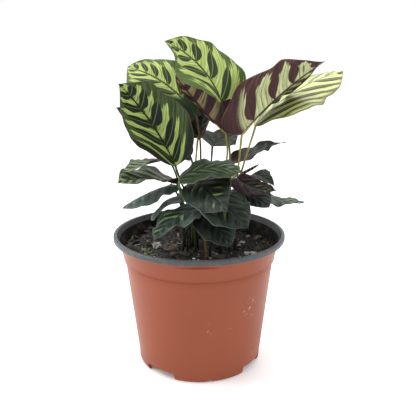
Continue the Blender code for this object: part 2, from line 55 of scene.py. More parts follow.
# Camera, in metres and degrees: where the photograph was taken from
CAMERA_PLACE = (0.0, -0.650, 0.345)
CAMERA_TILT = 16.4            # below the horizon
CAMERA_TURN = 0.75            # towards +X
FOCAL_PIXELS = 707.5
IMAGE_PIXELS = 416
SENSOR_WIDTH = 36.0

# Studio, in metres and watts: each softbox's place, what it is aimed at, its side and its power
FLOOR_SIZE = 60.0
WHITE = (1.0, 1.0, 1.0, 1.0)
SOFTBOXES = (
    ("softbox_left", (-0.95, 0.1, 0.85), (0, 0, 0.15), 0.9, 11.0),
    ("softbox_right", (0.95, -0.05, 0.7), (0, 0, 0.15), 0.8, 2.4),
    ("softbox_back", (0.15, 0.75, 1.15), (0, 0, 0.2), 0.8, 6.0),
)

# Pot
POT_HEIGHT = 130.0
RIM_RADIUS = 82.5
RIM_BAND = 5.0                # height of the rolled rim
RIM_FOOT = POT_HEIGHT - RIM_BAND
RIM_INNER_RADIUS = 78.9
RIM_ROUND = 0.9
BAND_START = RIM_FOOT + 0.5   # above this the whole rim is grey
WALL = 1.5
COLLAR_TOP_RADIUS = 78.0
COLLAR_FOOT_RADIUS = 72.8
COLLAR_FOOT_HEIGHT = 106.4
BODY_TOP_RADIUS = 71.4
BODY_FOOT_RADIUS = 60.2
FOOT_RADIUS = 57.0            # middle of the ring that the pot stands on
FOOT_HALF_WIDTH = 0.7
FOOT_HEIGHT = 8.2
FLOOR_TOP = FOOT_HEIGHT + WALL
PAD_RADIUS = 13.0
POT_TURNS = 180
NOTCH_ANGLES = (50.0, 150.0, 230.0, 330.0)
NOTCH_WIDTH = 33.0
NOTCH_HEIGHT = 7.4
NOTCH_ROUND = 1.4
NOTCH_REACH = 2.0             # how far in from the foot ring's middle a notch cuts
NOTCH_END = 0.55              # share of its height that a notch has at its very ends
NOTCH_STEPS = (-0.02, 0.02, 0.4, 0.8, 1.3)   # degrees in from a notch's end, where its facets meet
NOTCH_HALF_ANGLE = math.degrees(NOTCH_WIDTH / 2 / (FOOT_RADIUS + FOOT_HALF_WIDTH))
ARCH_ANGLES = tuple(280.0 + 60.0 * index for index in range(6))
ARCH_RADIUS = 2.6
ARCH_STEPS = 4                # facets from an arch's middle to its end
DRAIN_COUNT = 8
DRAIN_RING_RADIUS = 36.0
DRAIN_RADIUS = 4.5
DRAIN_DEPTH = 6.0
DRAIN_SIDES = 32
DENT_ANGLE = 270.0            # shallow hollow under the rim, in the middle of the front
DENT_HALF_ANGLE = 17.0
DENT_DEPTH = 1.2
DENT_FOOT = 4.6               # how far below the rim it ends, and over what height
DENT_STEP = 1.2
OUTER_SIDE_RADIUS = COLLAR_TOP_RADIUS - WALL + 0.1
SHARP_ANGLE = 38.0            # edges of the pot that turn more than this stay crisp

# Soil
SOIL_EDGE_HEIGHT = 113.0
SOIL_CROWN_HEIGHT = 116.0
SOIL_RADIUS = 73.0
SOIL_TILT = (-1.7, 1.2)       # rise from the middle to the right edge, and to the back edge
SOIL_DROP = 1.0               # the clods stand up again by about this much
# Clods, lumps and crumbs: how high they are, how wide, and where in the noise they are taken from
SOIL_RELIEF = ((2.0, 16.0, 3.1), (1.1, 6.0, 7.7), (0.5, 2.2, 1.3))
SOIL_GAP = 0.1
INNER_TAPER = 3.0 / 9.6       # how the pot's wall opens out at the height of the soil
SOIL_SKIRT = 12.0             # how far the bed's side reaches down inside the pot
SOIL_SKIRT_RADIUS = BODY_TOP_RADIUS - WALL - 1.8
SOIL_RINGS = 70
SOIL_TURNS = 180
SOIL_CROWDING = 0.8           # below 1, the rings stand closer together towards the wall

# Large pieces on the soil: place, half sizes, turn, tilt and tone
CHUNK_LIFT = 0.45             # share of its height that a piece's middle lies above the soil
CHUNK_ROUGHNESS = 0.5
CHUNK_SQUARENESS = 0.7        # 1 is an egg, and less is more like a block
LARGE_BARK = (
    (-27, -8, (7.5, 5, 2.6), 10, 35, 0.75), (14.7, -30, (9, 3.5, 1.6), -8, 25, 0.55),
    (33, -33, (7, 3, 1.6), 12, 10, 0.5), (22, 3, (4, 2.5, 1.6), 50, 20, 0.8),
    (-70, 33, (3, 3, 2), 40, 20, 0.4), (-50, 52, (4, 3, 2.4), 10, 30, 0.45),
    (-14, -25, (5, 3, 1.5), -30, 15, 0.4), (57, -3, (4, 2.6, 1.8), 60, 20, 0.6),
)
PALE_CHIPS = (
    (-40.8, -5, (3.6, 3.8, 3.8), 30, 40, 0.75), (-42, 3, (2.8, 2, 2.6), 70, 20, 0.62),
    (46.3, -17, (4.4, 2.6, 1.5), -25, 25, 0.82), (52, -13, (2.4, 2, 1.2), 20, 10, 0.9),
    (42.5, 14.8, (2.6, 1.6, 1.2), 10, 30, 0.72), (39, 6, (2.2, 1.4, 1), 60, 10, 0.68),
    (-5, -32.8, (1.3, 1, 0.9), 0, 0, 1), (-1, -36, (1, 0.9, 0.8), 20, 0, 0.9),
    (64.5, 38, (1.3, 1.1, 1), 0, 0, 1), (49.7, 33.4, (2, 1.2, 1), 40, 20, 0.7),
)
MOSS_TUFTS = (
    (-66.9, 28, (1.2, 1.1, 1), 0, 0, 1.15), (-50.8, -13, (2, 1.6, 1.3), 20, 0, 0.6),
    (-54, -10, (1.6, 1.4, 1), 70, 0, 0.7), (-47, -17, (1.8, 1.4, 1.2), 10, 0, 0.5),
    (-56, -5, (1.3, 1.2, 1), 30, 0, 0.8), (-44, -21, (1.6, 1.2, 1), 50, 0, 0.6),
    (-51, -19, (1.4, 1.3, 1), 15, 0, 0.75), (-48, -9, (1.2, 1, 0.8), 80, 0, 0.55),
    (-60, 2, (1.4, 1, 0.9), 25, 0, 0.65),
)

# Stems
STEM_FOOT_HEIGHT = 100.0
STEM_CLEAR_HEIGHT = 120.0
STEM_PULL = (0.45, 0.33)      # how far the curve keeps its first and last direction
STEM_SPREAD = 0.25
STEM_RISE = 20.0
STEM_POINTS = 26
STEM_SIDES = 12
# Radius by place along the stem, and then along its run-out under the midrib
STEM_RADII = ((0.0, 1.9), (0.12, 1.5), (0.3, 1.1), (0.88, 0.85), (0.93, 1.05), (1.0, 1.05))
STEM_TAIL = ((0.04, 0.9), (0.09, 0.7), (0.15, 0.5), (0.22, 0.3))
TAIL_SINK = 0.4               # share of its radius by which the run-out hangs below the blade
NECK_EASE = 0.06              # share of the stem over which its neck takes its own colour

# Blades
BLADE_THICKNESS = 0.75
BLADE_EDGE_THICKNESS = 0.3
BLADE_ROWS = 76
BLADE_COLUMNS = 36            # even, half of them on each side of the midrib
COLUMN_CROWDING = 1.4         # above 1, the columns stand closer together towards the midrib
TIP_HALF_WIDTH = 0.6
BASE_ROUNDNESS = 0.44
TIP_LENGTH = 0.14             # share of the length over which the tip is drawn out
TIP_DRAW = 0.4
EDGE_STATIONS = (0.1, 0.3, 0.5, 0.7, 0.88)
FOLD_EASE = 0.35
LOBE_REACH = 2.8
WAVE_LEAD = 0.37
WAVE_FADE = 0.6
RIPPLE = (0.7, 5.3)           # height and number of the fine margin ripples
RIPPLE_LEAD = 1.7             # how much further the ripples run ahead than the waves do
# Where the side veins under the large ovals leave the midrib, left and right
VEIN_PLACES = ((0.12, 0.32, 0.52, 0.7, 0.85), (0.03, 0.22, 0.42, 0.61, 0.78))
VEIN_SLANT = (0.62, 0.55)     # how a side vein runs on towards the tip: at once, and further out
# The plain dark base next to the stem is partly the leaf's own colour and partly painted shadow: on
# leaf_tall_behind it stands in for the shade over its base.
BARE_EASE = 0.05              # share of the length over which a plain dark base gives way to markings
QUILTING = 0.28               # swelling between side veins
QUILTED_WIDTH = 12.0          # half width from which a blade swells in full
MIDRIB_GROOVE = (0.35, 0.9)   # depth above and half width
MIDRIB_RIDGE = (0.55, 1.1)    # height below and half width
EDGE_SHARE = 0.07             # outer share of the half width that pales towards the edge
PALE_REACH = 0.84             # place between midrib and margin where the ramps have the pale ground end

# The names of what a mesh tells its materials
VEIN_MAP = "veins"
BASE_AND_SHADE_MARK = "plain_base"
EDGE_MARK = "thin_edge"
TONE = "tone"

# What a leaf has where the table gives nothing else, and what the leaves at the back share
EVEN_EDGES = ((1, 1, 1, 1, 1), (1, 1, 1, 1, 1))
USUAL_LEAF = dict(
    lobe=(2, 2), twist=0, edges=EVEN_EDGES, lean=0.6, stem="dark", below="dim", veins=VEIN_PLACES,
    slant=(1, 1), reach=(PALE_REACH, PALE_REACH), bare=-9.0)
REAR_LEAF = dict(half=(21, 21), fold=(10, 10), curl=(-10, -10), sway=0, widest=0.4, wave=(2, 3, 0))

# Each leaf's shape, where base and tip end the midrib, up is the way its upper side faces, and a pair
# is for the left and right half. half is the widest half width and edges its share at the stations;
# fold, curl and twist are in degrees, wave is height, count and phase. root is the place of the stem's
# foot and lean how far it arrives along the midrib. Then come its finish: look for the upper side,
# below for the underside and stem. veins are the places of its ovals along the midrib, slant how much
# more than usual its side veins lean towards the tip, reach where its pale ground ends between midrib
# and margin, and bare the share of it next to the stem that is plain and dark: the leaf's own dark base,
# and on leaf_tall_behind painted shadow over the base of the leaf.
LEAVES = {
    # Its ripe look is partly painted shade for the lower light on this front-facing leaf.
    "leaf_tall_left": dict(base=(-21, -34, 203), tip=(-69, -31, 275), up=(0.27, -0.9, 0.35), half=(33, 34),
        fold=(33, 38), curl=(14, 17), arch=-10, sway=7, widest=0.41, twist=-9, wave=(2, 2.5, 0.23),
        edges=((0.92, 1.06, 1.02, 1.05, 0.98), (1.01, 1, 0.98, 0.88, 1.13)), root=(-1, -2), lean=0,
        look="ripe", below="bright", veins=((0.05, 0.23, 0.46, 0.67, 0.84), (0.06, 0.21, 0.47, 0.68, 0.84)),
        slant=(1.3, 0.9), reach=(0.88, 0.7), bare=-0.05),
    "leaf_tall_top": dict(base=(20, -10, 257), tip=(-29, -27, 311), up=(0.33, -0.77, 0.55), half=(26, 29),
        fold=(17, 40), curl=(7, 15), arch=3, sway=7, widest=0.39, twist=-22, wave=(3.3, 2.5, 0.6),
        edges=((0.68, 0.75, 1.28, 1.32, 0.68), (1.32, 0.9, 0.84, 0.68, 0.79)), root=(29, -10), lean=3.4,
        look="fresh", below="bright", stem="maroon_neck",
        veins=((0.09, 0.36, 0.62, 0.82), (0.02, 0.29, 0.56, 0.75)), slant=(1.8, 1.1), reach=(0.68, 0.9)),
    "leaf_tall_back": dict(base=(25, -6, 227), tip=(-20, -8, 279), up=(0.58, 0.77, 0.28), half=(26, 14),
        fold=(40, 40), curl=(0, 1), lobe=(6, 2), arch=2.5, sway=4.7, widest=0.47, twist=5,
        wave=(1.5, 2.5, 0.9), root=(12, 5), lean=0.5, look="fresh", below="rosy", stem="pale_neck",
        veins=((0.14, 0.38, 0.61, 0.8), (0.14, 0.38, 0.61, 0.8)), slant=(0.6, 0.6), bare=0.24),
    "leaf_tall_right": dict(base=(38.5, -24, 229), tip=(112, -11, 292.5), up=(-0.59, 0.8, 0.12),
        half=(37, 34), fold=(64, 55), curl=(-13, 3), lobe=(0, 12.5), arch=-8, sway=11, widest=0.34,
        twist=-4, wave=(3.3, 2.5, 0.34), edges=((1, 1, 1.02, 1.45, 0.6), (0.88, 0.9, 0.86, 0.92, 0.72)),
        root=(34, -6), lean=0.1, look="fresh", below="bright", stem="pale_neck",
        veins=((0.17, 0.42, 0.63, 0.85), (0.17, 0.42, 0.63, 0.9)), slant=(1.2, 0.95), reach=(0.8, 0.8),
        bare=0.05),
    # Its pale look is partly painted backlight.
    "leaf_outer_right": dict(base=(52.5, -3, 233.5), tip=(135, 20, 281), up=(-0.46, -0.22, 0.86),
        half=(21, 36), fold=(-3, -1), curl=(-13, -9), lobe=(0, 2), arch=6, sway=-5, widest=0.52, twist=20,
        wave=(1.6, 2, 0.43), edges=((1.6, 1.3, 0.9, 0.75, 0.68), (0.68, 1.24, 1.32, 0.99, 1.01)),
        root=(29, -3), lean=0.2, look="pale", below="bright", stem="golden",
        veins=((0.02, 0.24, 0.46, 0.66, 0.84), (-0.08, 0.19, 0.45, 0.7)), slant=(1.8, 1.9)),
    # The plain dark base of this leaf is painted shadow, standing in for the shade that its lower part lies
    # in.
    "leaf_tall_behind": dict(base=(-2, 12, 239), tip=(-67, 28, 284), up=(0.04, -0.71, 0.7), half=(32, 26),
        fold=(4, 3), curl=(-1, 7), arch=9, sway=4, widest=0.47, twist=20, wave=(2.8, 2.5, 0.79),
        edges=((1, 1, 1, 1, 1.1), (1, 1, 0.96, 0.97, 0.97)), root=(-2, 12), look="fresh", below="bright",
        stem="brown", veins=((0.12, 0.34, 0.55, 0.73, 0.87), (0.12, 0.3, 0.48, 0.64, 0.77, 0.88)),
        slant=(2, 1), reach=(0.7, 0.8), bare=0.26),
    "leaf_behind_left": dict(base=(-8, 4, 203), tip=(-76, 2, 250), up=(0, -0.35, 0.95), half=(20, 22),
        fold=(10, 10), curl=(5, 10), arch=3, sway=-2, widest=0.4, wave=(1, 2.5, 0.1), root=(-6, 2),
        look="shade"),
    "leaf_curled": dict(base=(-1, 25, 217), tip=(7, 30, 250), up=(-0.25, -0.95, 0.1), half=(13, 19),
        fold=(10, 15), curl=(10, 110), arch=1, sway=0, widest=0.5, wave=(1, 2, 0.4), root=(-6, 27),
        lean=0.5, look="shade", below="rosy", stem="yellow"),
    "leaf_level": dict(base=(13, 20, 210), tip=(46, 82, 210), up=(0, 0, 1), half=(18, 20), fold=(35, 10),
        curl=(5, -20), arch=1, sway=-6, widest=0.25, wave=(1.5, 2.5, 0.2), root=(12, 13), look="dusk"),
    "leaf_middle_right": dict(base=(32.5, 18.5, 193), tip=(87.5, 49, 208), up=(-0.24, -0.17, 0.9),
        half=(17, 17), fold=(10, 12), curl=(12, -26), lobe=(1.5, 2.8), arch=4.3, sway=0.6, widest=0.21,
        twist=49, wave=(2, 2.3, 0.34),
        edges=((1.02, 0.9, 0.85, 1.06, 1.09), (1.09, 1.04, 0.84, 0.55, 1.24)), root=(20, 12), look="shade",
        bare=0.05),
    "leaf_young_rolled": dict(base=(39, 5, 185), tip=(56, -4, 197), up=(-0.3, -0.3, 0.9), half=(2.6, 2.6),
        fold=(60, 60), curl=(100, 100), lobe=(0, 0), arch=-1, sway=0, widest=0.4, wave=(0, 1, 0),
        root=(31, 2), look="shade", below="rosy", stem="brown"),
    "leaf_middle_left": dict(base=(-21.5, -11, 181.5), tip=(-71.5, -45, 190), up=(-0.21, -0.21, 1.05),
        half=(20, 20), fold=(12, 19), curl=(4, 11), arch=3.7, sway=2.1, widest=0.4, twist=-17,
        wave=(2.5, 2.1, 0.56), edges=((0.9, 1.1, 0.95, 1.05, 0.79), (0.97, 1, 0.95, 1, 1.07)),
        root=(-8, -5), lean=1.2, look="faded", bare=0.06),
    "leaf_upper_left": dict(base=(-28, -7, 203), tip=(-69, -34, 197), up=(-0.13, 0.11, 0.74), half=(16, 17),
        fold=(6, 13), curl=(12, 15), lobe=(2.7, 1.1), arch=1.9, sway=-5.3, widest=0.39, twist=-29,
        wave=(0.6, 1.8, 0.88), edges=((0.9, 0.86, 1.14, 1.07, 1.38), (0.97, 0.93, 1, 1.26, 0.93)),
        root=(-14, 5), look="faded", bare=0.12),
    "leaf_low_left": dict(base=(-26, -7, 179), tip=(-68, -46, 167), up=(-0.16, -0.07, 0.98), half=(20, 24),
        fold=(-3, -30), curl=(-15, -19), lobe=(1.9, 2.2), arch=3.5, sway=-2, widest=0.43, twist=-7,
        wave=(1.1, 2.7, 0.71), edges=((1.03, 0.95, 0.86, 1.07, 1.1), (1.15, 1.07, 1.17, 1.13, 0.9)),
        root=(-14, -2), lean=0.7, look="slate"),
    "leaf_small_left": dict(base=(-17, -14, 166.5), tip=(-41, -34.5, 152.5), up=(-0.48, 0.07, 0.49),
        half=(14, 15), fold=(-5, 17), curl=(-12, -11), lobe=(1.7, 2.2), arch=4.2, sway=2.8, widest=0.46,
        twist=30, wave=(0, 2.4, 0.98),
        edges=((0.97, 1.15, 0.89, 0.99, 0.93), (1.09, 1.16, 0.81, 1.12, 1.07)), root=(-11, -13), lean=0.4,
        look="slate"),
    "leaf_drooping_left": dict(base=(-3, -44, 166), tip=(-39, -79, 147), up=(-0.4, -0.3, 0.85),
        half=(20, 20), fold=(5, 5), curl=(-15, -10), arch=1, sway=7, widest=0.25, wave=(2, 2.5, 0.3),
        root=(-16, -17), lean=0.4, look="jade"),
    "leaf_crown": dict(base=(-17.5, -36, 192), tip=(38.5, -39, 198.5), up=(0.02, -0.22, 0.86),
        half=(23, 25), fold=(-1, 10), curl=(-14, -3), lobe=(0, 0.8), arch=7.1, sway=-0.6, widest=0.47,
        twist=-9, wave=(1.6, 2, 0.25), edges=((0.9, 1.01, 0.93, 0.94, 1.1), (1.13, 1.03, 1.08, 1.06, 1.01)),
        root=(-3, -14), lean=0.4, look="crown", stem="fresh", slant=(1.3, 1.3)),
    "leaf_front_upper": dict(base=(-4.5, -24, 187.5), tip=(24, -85, 175.5), up=(-0.06, -0.71, 0.44),
        half=(24, 22), fold=(-5, -1), curl=(-9, -19), lobe=(1.8, 2.3), arch=3.8, sway=-0.3, widest=0.33,
        twist=23, wave=(1.4, 2.4, 0.02),
        edges=((1.06, 0.91, 1.01, 0.94, 0.86), (0.93, 0.92, 0.95, 1.03, 1.1)), root=(6, -24), lean=0.5,
        look="old"),
    "leaf_front_right": dict(base=(12, -38, 181), tip=(42, -79, 159), up=(0.25, -0.75, 0.65), half=(23, 23),
        fold=(0, 0), curl=(-15, -15), arch=5, sway=4, widest=0.4, wave=(2, 2.5, 0.15), root=(10, -30),
        lean=0.7, look="old"),
    "leaf_front_low": dict(base=(4, -39, 162), tip=(28, -70, 139), up=(0.3, -0.7, 0.65), half=(18, 18),
        fold=(-5, -5), curl=(-15, -15), arch=4, sway=1, widest=0.4, twist=-5, wave=(1.5, 2.5, 0.25),
        root=(6, -34), lean=0.5, look="oldest", stem="red"),
    "leaf_side_right": dict(base=(47.5, 3, 183.5), tip=(70, -22.5, 180.5), up=(0.06, -0.13, 1.22),
        half=(12, 14), fold=(21, 12), curl=(-11, -10), lobe=(0.4, 0), arch=6.3, sway=2.4, widest=0.31,
        twist=-12, wave=(0.4, 1.9, 0.44),
        edges=((0.93, 0.99, 1.11, 0.97, 1.13), (0.4, 0.58, 0.92, 1.14, 1.45)), root=(27, 8), lean=0.8,
        look="shade"),
    "leaf_striped_right": dict(base=(34.5, -26.5, 189.5), tip=(68.5, -45.5, 183), up=(0.2, -0.2, 0.95),
        half=(13, 16), fold=(15, 3), curl=(13, -20), lobe=(1.1, 2.4), arch=-3.6, sway=0.2, widest=0.32,
        twist=-3, wave=(0.5, 2.3, 0.87),
        edges=((1.01, 0.92, 0.91, 1.27, 1.37), (1.1, 0.96, 1.03, 1.12, 1.02)), root=(19, -11), lean=0.7,
        look="plum", bare=0.1),
    "leaf_pointed_right": dict(base=(56, 6, 165.5), tip=(98, -20, 165), up=(-0.01, -0.05, 1.08),
        half=(13, 13), fold=(0, 4), curl=(-17, -13), lobe=(1.6, 1.2), arch=-1.3, sway=1.1, widest=0.54,
        twist=-4, wave=(1.7, 2.3, 0.34),
        edges=((0.86, 0.85, 1.06, 0.85, 0.77), (1.1, 0.94, 1.23, 0.86, 0.88)), root=(34, 8), look="jade"),
    "leaf_dark_right": dict(base=(28.5, -21.5, 176.5), tip=(62, -49, 168.5), up=(0.13, -0.31, 0.9),
        half=(20, 18), fold=(-1, 8), curl=(-10, -11), lobe=(2.2, 2.3), arch=4.2, sway=0.2, widest=0.5,
        twist=-2, wave=(1.5, 2.1, 0.41),
        edges=((0.91, 0.95, 1, 1.04, 0.96), (1.04, 1.03, 0.83, 0.79, 1.02)), root=(20, -22), look="oldest"),
    "leaf_rear_left": dict(REAR_LEAF, base=(0, 34, 148), tip=(-6, 94, 134), up=(0, 0.25, 0.95), arch=7,
        root=(0, 21), look="old"),
    "leaf_rear_right": dict(REAR_LEAF, base=(36, 30, 150), tip=(66, 84, 138), up=(0.2, 0.25, 0.95), arch=8,
        root=(25, 20), look="shade"),
    "leaf_rear_middle": dict(REAR_LEAF, base=(18, 40, 166), tip=(28, 104, 166), up=(0, 0.2, 1), arch=9,
        root=(11, 22), look="ripe", below="bright"),
}

# How far an oval reaches to each side of its vein, as a share of the step to the next one, by place
# between midrib and margin
ROUND_OVALS = [(0.0, 0.04), (0.05, 0.07), (0.14, 0.19), (0.28, 0.31), (0.41, 0.32), (0.55, 0.23), (0.65, 0.1),
               (0.69, 0.02), (1.0, 0.01)]
FULL_OVALS = [(0.0, 0.05), (0.05, 0.1), (0.14, 0.24), (0.28, 0.36), (0.42, 0.36), (0.56, 0.26), (0.67, 0.12),
              (0.74, 0.03), (1.0, 0.01)]
TALL_OVALS = [(0.0, 0.03), (0.06, 0.06), (0.18, 0.18), (0.36, 0.25), (0.5, 0.25), (0.64, 0.17), (0.76, 0.08),
              (0.84, 0.03), (1.0, 0.02)]
LONG_OVALS = [(0.0, 0.05), (0.08, 0.12), (0.25, 0.25), (0.5, 0.28), (0.75, 0.19), (0.95, 0.08), (1.0, 0.05)]

# The same for the pale ground, measured from halfway between two veins: 0.5 is all of it
BROAD_STRIPES = [(0.0, 0.5), (0.6, 0.5), (0.7, 0.38), (0.8, 0.22), (0.88, 0.07), (0.94, 0.0), (1.0, 0.0)]
TAPERED_STRIPES = [(0.0, 0.5), (0.45, 0.42), (0.62, 0.3), (0.75, 0.16), (0.85, 0.05), (0.92, 0.0), (1.0, 0.0)]
NARROW_STRIPES = [(0.0, 0.15), (0.08, 0.27), (0.35, 0.27), (0.6, 0.25), (0.75, 0.14), (0.84, 0.03),
                  (0.9, 0.0), (1.0, 0.0)]
SHORT_STRIPES = [(0.0, 0.06), (0.12, 0.13), (0.35, 0.13), (0.5, 0.08), (0.6, 0.02), (0.7, 0.0), (1.0, 0.0)]
THIN_STRIPES = [(0.0, 0.3), (0.3, 0.24), (0.6, 0.14), (0.8, 0.05), (0.9, 0.0), (1.0, 0.0)]

# Markings, in steps from one large side vein to the next
VEIN_WANDER = 0.18
OVAL_SOFTNESS = 0.025
COMB = 0.7                    # how raggedly the pale ground ends
STREAKS = (11.0, 1.6)         # how many streaks there are per step, and how many from midrib to margin
FINE_LINES = 5.0
FINE_LINE_BEND = 1.2

# Finishes of the upper side. field and deep are the pale ground, border the green round it, oval the
# dark ovals, with side_oval for those on the left half, edge the thin rim and base the plain base.
# patch is how much of the ground an older leaf has lost, and lines how dark its fine lines are.
LEAF_GLOSS = 0.22
USUAL_UPPER = dict(ovals=ROUND_OVALS, stripes=SHORT_STRIPES, patch=0.0, lines=0.75, gloss=LEAF_GLOSS)
UPPER_LOOKS = {
    # fresh is partly painted light: its pale ground is lighter than the leaf's own, standing in for the light
    # from above on leaf_tall_top and leaf_tall_behind.
    "fresh": dict(field="c6d583", deep="a0b45e", oval="343f2c", border="41552f", edge="5c6f44",
                  stripes=BROAD_STRIPES),
    # ripe is partly painted shade: its colours are darker than the leaf's own, standing in for the lower
    # light on leaf_tall_left, which faces the front.
    "ripe": dict(field="b3c571", deep="869a50", oval="1a201a", border="27351f", edge="3a4a34",
                 ovals=FULL_OVALS, stripes=NARROW_STRIPES),
    # pale is partly painted light: its ground is lightened and its fine lines kept faint, standing in for the
    # light shining through leaf_outer_right from behind.
    "pale": dict(field="dfe6a0", deep="b4bc78", oval="43471f", side_oval="7d8c74", border="8a9150",
                 edge="8a6a5c", ovals=LONG_OVALS, stripes=BROAD_STRIPES, lines=0.3),
    "crown": dict(field="72865a", deep="3f5232", oval="172015", border="283820", edge="7c8c6c", patch=0.35),
    "shade": dict(field="3f4b36", deep="2f3a2b", oval="171a15", border="242c22", base="33241f", edge="4f5a47",
                  patch=0.4, gloss=0.1),
    "dusk": dict(field="3f4531", deep="333827", oval="24231b", border="2c2f22", edge="5f5548", patch=0.45,
                 gloss=0.04),
    "jade": dict(field="7c9a62", deep="4c5e50", oval="1c231f", border="37453c", edge="7a8b80",
                 stripes=NARROW_STRIPES, patch=0.5),
    "slate": dict(field="6c7d70", deep="54645a", oval="394740", border="48574f", edge="7c8b80", patch=0.45),
    "faded": dict(field="90a26c", deep="677a56", oval="2a3127", border="4e5c46", base="4c3234", edge="6c7a58",
                  stripes=NARROW_STRIPES, patch=0.3),
    "plum": dict(field="7a8548", deep="34382a", oval="150f10", border="251a1a", base="2f1f25", edge="4b3430",
                 patch=0.52, gloss=0.08),
    "old": dict(field="8ba04c", deep="3a4b2d", oval="101410", border="1c2621", edge="5a695c", patch=0.53),
    "oldest": dict(field="34432f", deep="27332a", oval="0f1310", border="1c241f", edge="56645a", patch=0.5),
}
# Finishes of the underside, where border is the maroon round the pale ground and flush brushes the ovals
LOWER_LOOKS = {
    "bright": dict(field="bac290", deep="9aa070", oval="3d2626", border="573f39", flush="5a3f3b",
                   edge="6b4c46", ovals=TALL_OVALS, stripes=TAPERED_STRIPES),
    "rosy": dict(field="a3976b", deep="77684c", oval="3a2226", border="4f3633", flush="5c3c3c",
                 edge="8a5658", ovals=TALL_OVALS, stripes=THIN_STRIPES),
    "dim": dict(field="5d4a40", deep="4c3432", oval="2f1b1e", border="3f292a", flush="4a2e2e",
                edge="4a3834", ovals=ROUND_OVALS, stripes=NARROW_STRIPES),
}
# Each stem's colours at its foot, along its shaft and at its neck, and where the neck starts
STEM_LOOKS = {
    "dark": ("14140f", "2c321c", "3d4426", 0.85),
    "golden": ("3a3520", "857a40", "94894a", 0.8),
    "pale_neck": ("23251a", "3c4230", "8a8648", 0.62),
    "brown": ("2a2118", "4a3b26", "5c4a30", 0.85),
    "yellow": ("33341e", "7f823f", "8a8c48", 0.8),
    "maroon_neck": ("33281a", "5c5a30", "3d2527", 0.74),
    "fresh": ("23291a", "4c6430", "5f7c38", 0.85),
    "red": ("5a2a1c", "787a3c", "787a3c", 0.85),
}
PLASTIC_IOR = 1.49
PLASTIC_LOOK = dict(body="8a462c", warm="964c30", dull="81402b", scuff="d9a794")
# Where the plastic is scuffed most, in metres, and how far round that
SCUFF_PLACES = (
    ((0.05, -0.048, 0.072), 0.014), ((0.03, -0.061, 0.052), 0.006), ((-0.042, -0.055, 0.069), 0.004))
# The inner layer: worn is where the rim is rubbed pale, or where soil dust clings inside.
# Spread gives the noise at which that starts and is fullest, and how much it covers.
RIM_LOOK = dict(body="3e4143", worn="5c5f60", spread=(0.45, 0.7, 0.4), roughness=0.42, gloss=0.5)
# The inside is a much darker copy of the rim's plastic: painted shade inside the pot, flecked with real soil
# dust.
SHADED_INSIDE_LOOK = dict(body="0d0d0c", worn="38322a", spread=(0.47, 0.62, 0.85), roughness=0.7, gloss=0.12)
# Tones of the bed and of what lies on it, from the darkest to the palest, and the latter's roughness
PEAT_TONES = [(0.12, "0b0a08"), (0.24, "16130f"), (0.34, "26221c"), (0.44, "433e35")]
GRAIN_LOOKS = {
    "peat_crumbs": ([(0.1, "0b0a08"), (0.45, "171410"), (0.8, "2c2821"), (1.0, "545144")], 0.9),
    "pine_bark": ([(0.1, "17120d"), (0.4, "282019"), (0.7, "43372a"), (1.0, "7a6c5a")], 0.8),
    "grit_and_moss": ([(0.1, "414a30"), (0.5, "6f7060"), (0.8, "a3a298"), (1.0, "dcdcd4")], 0.8),
    "moss": ([(0.1, "3f4a2c"), (0.5, "6a7350"), (0.8, "8c9372"), (1.0, "a8d85a")], 0.9),
}
# Small pieces strewn on the bed: how many per square metre, their sizes in metres, how far they tilt in
# radians, how rough they are, how finely they are cut and how deep they sink
STREWN = {
    "soil_crumbs": ("peat_crumbs", dict(
        Density=290000.0, Seed=3, Smallest=(0.0004, 0.0004, 0.0003), Largest=(0.0016, 0.0013, 0.0011),
        Tilt=1.2, Roughness=0.9, Corners=1, Sunk=0.0002)),
    "bark_chips": ("pine_bark", dict(
        Density=7000.0, Seed=11, Smallest=(0.0014, 0.001, 0.0005), Largest=(0.006, 0.0036, 0.0018),
        Tilt=0.8, Roughness=0.7, Corners=2, Sunk=-0.0002)),
    "pale_grains": ("grit_and_moss", dict(
        Density=9000.0, Seed=23, Smallest=(0.0003, 0.0003, 0.0003), Largest=(0.0012, 0.001, 0.0008),
        Tilt=1.0, Roughness=0.6, Corners=1, Sunk=-0.0003)),
}
PLACED = {
    "large_bark": ("pine_bark", LARGE_BARK), "pale_chips": ("grit_and_moss", PALE_CHIPS),
    "moss_tufts": ("moss", MOSS_TUFTS),
}

# Size of each surface's pattern, in millimetres. The cells of a leaf, the moulded grain of plastic and
# the grain of bark are finer than this, and are drawn as coarse as they need to show.
METRE = 1000.0
VEIN_WANDER_LENGTH = 20.0
LEAF_MOTTLE = 3.85
GROUND_PATCH = 16.7
PLASTIC_CLOUD = 55.6
SCUFFED_AREA = 38.5
SCUFF_MARK = 2.38
MOULDED_GRAIN = 1.11
RUBBED_SPOT = 7.14
PEAT_PATCH = 14.3
PEAT_CRUMB = 3.125
BARK_GRAIN = 1.43
CARD_MOTTLE = 167.0
# How many streaks there are round a stem, and along it
STEM_STREAKS = (14.0, 5.0)

# The kinds of node and the settings that the materials use most
MATH, RANGE, NOISE, MIX, RAMP, BUMP, COMBINE, SPLIT, ATTRIBUTE, COORDINATES = (
    "ShaderNode" + kind for kind in ("Math", "MapRange", "TexNoise", "Mix", "ValToRGB", "Bump", "CombineXYZ",
                                     "SeparateXYZ", "Attribute", "TexCoord"))
ADD, SUBTRACT, MULTIPLY, MULTIPLY_ADD, MAXIMUM, ABSOLUTE, PINGPONG, DISTANCE, SCALE = (
    {"operation": name} for name in ("ADD", "SUBTRACT", "MULTIPLY", "MULTIPLY_ADD", "MAXIMUM", "ABSOLUTE",
                                     "PINGPONG", "DISTANCE", "SCALE"))
SMOOTH = {"interpolation_type": "SMOOTHSTEP"}
COLOURS = {"data_type": "RGBA"}
VECTORS = {"data_type": "FLOAT_VECTOR"}


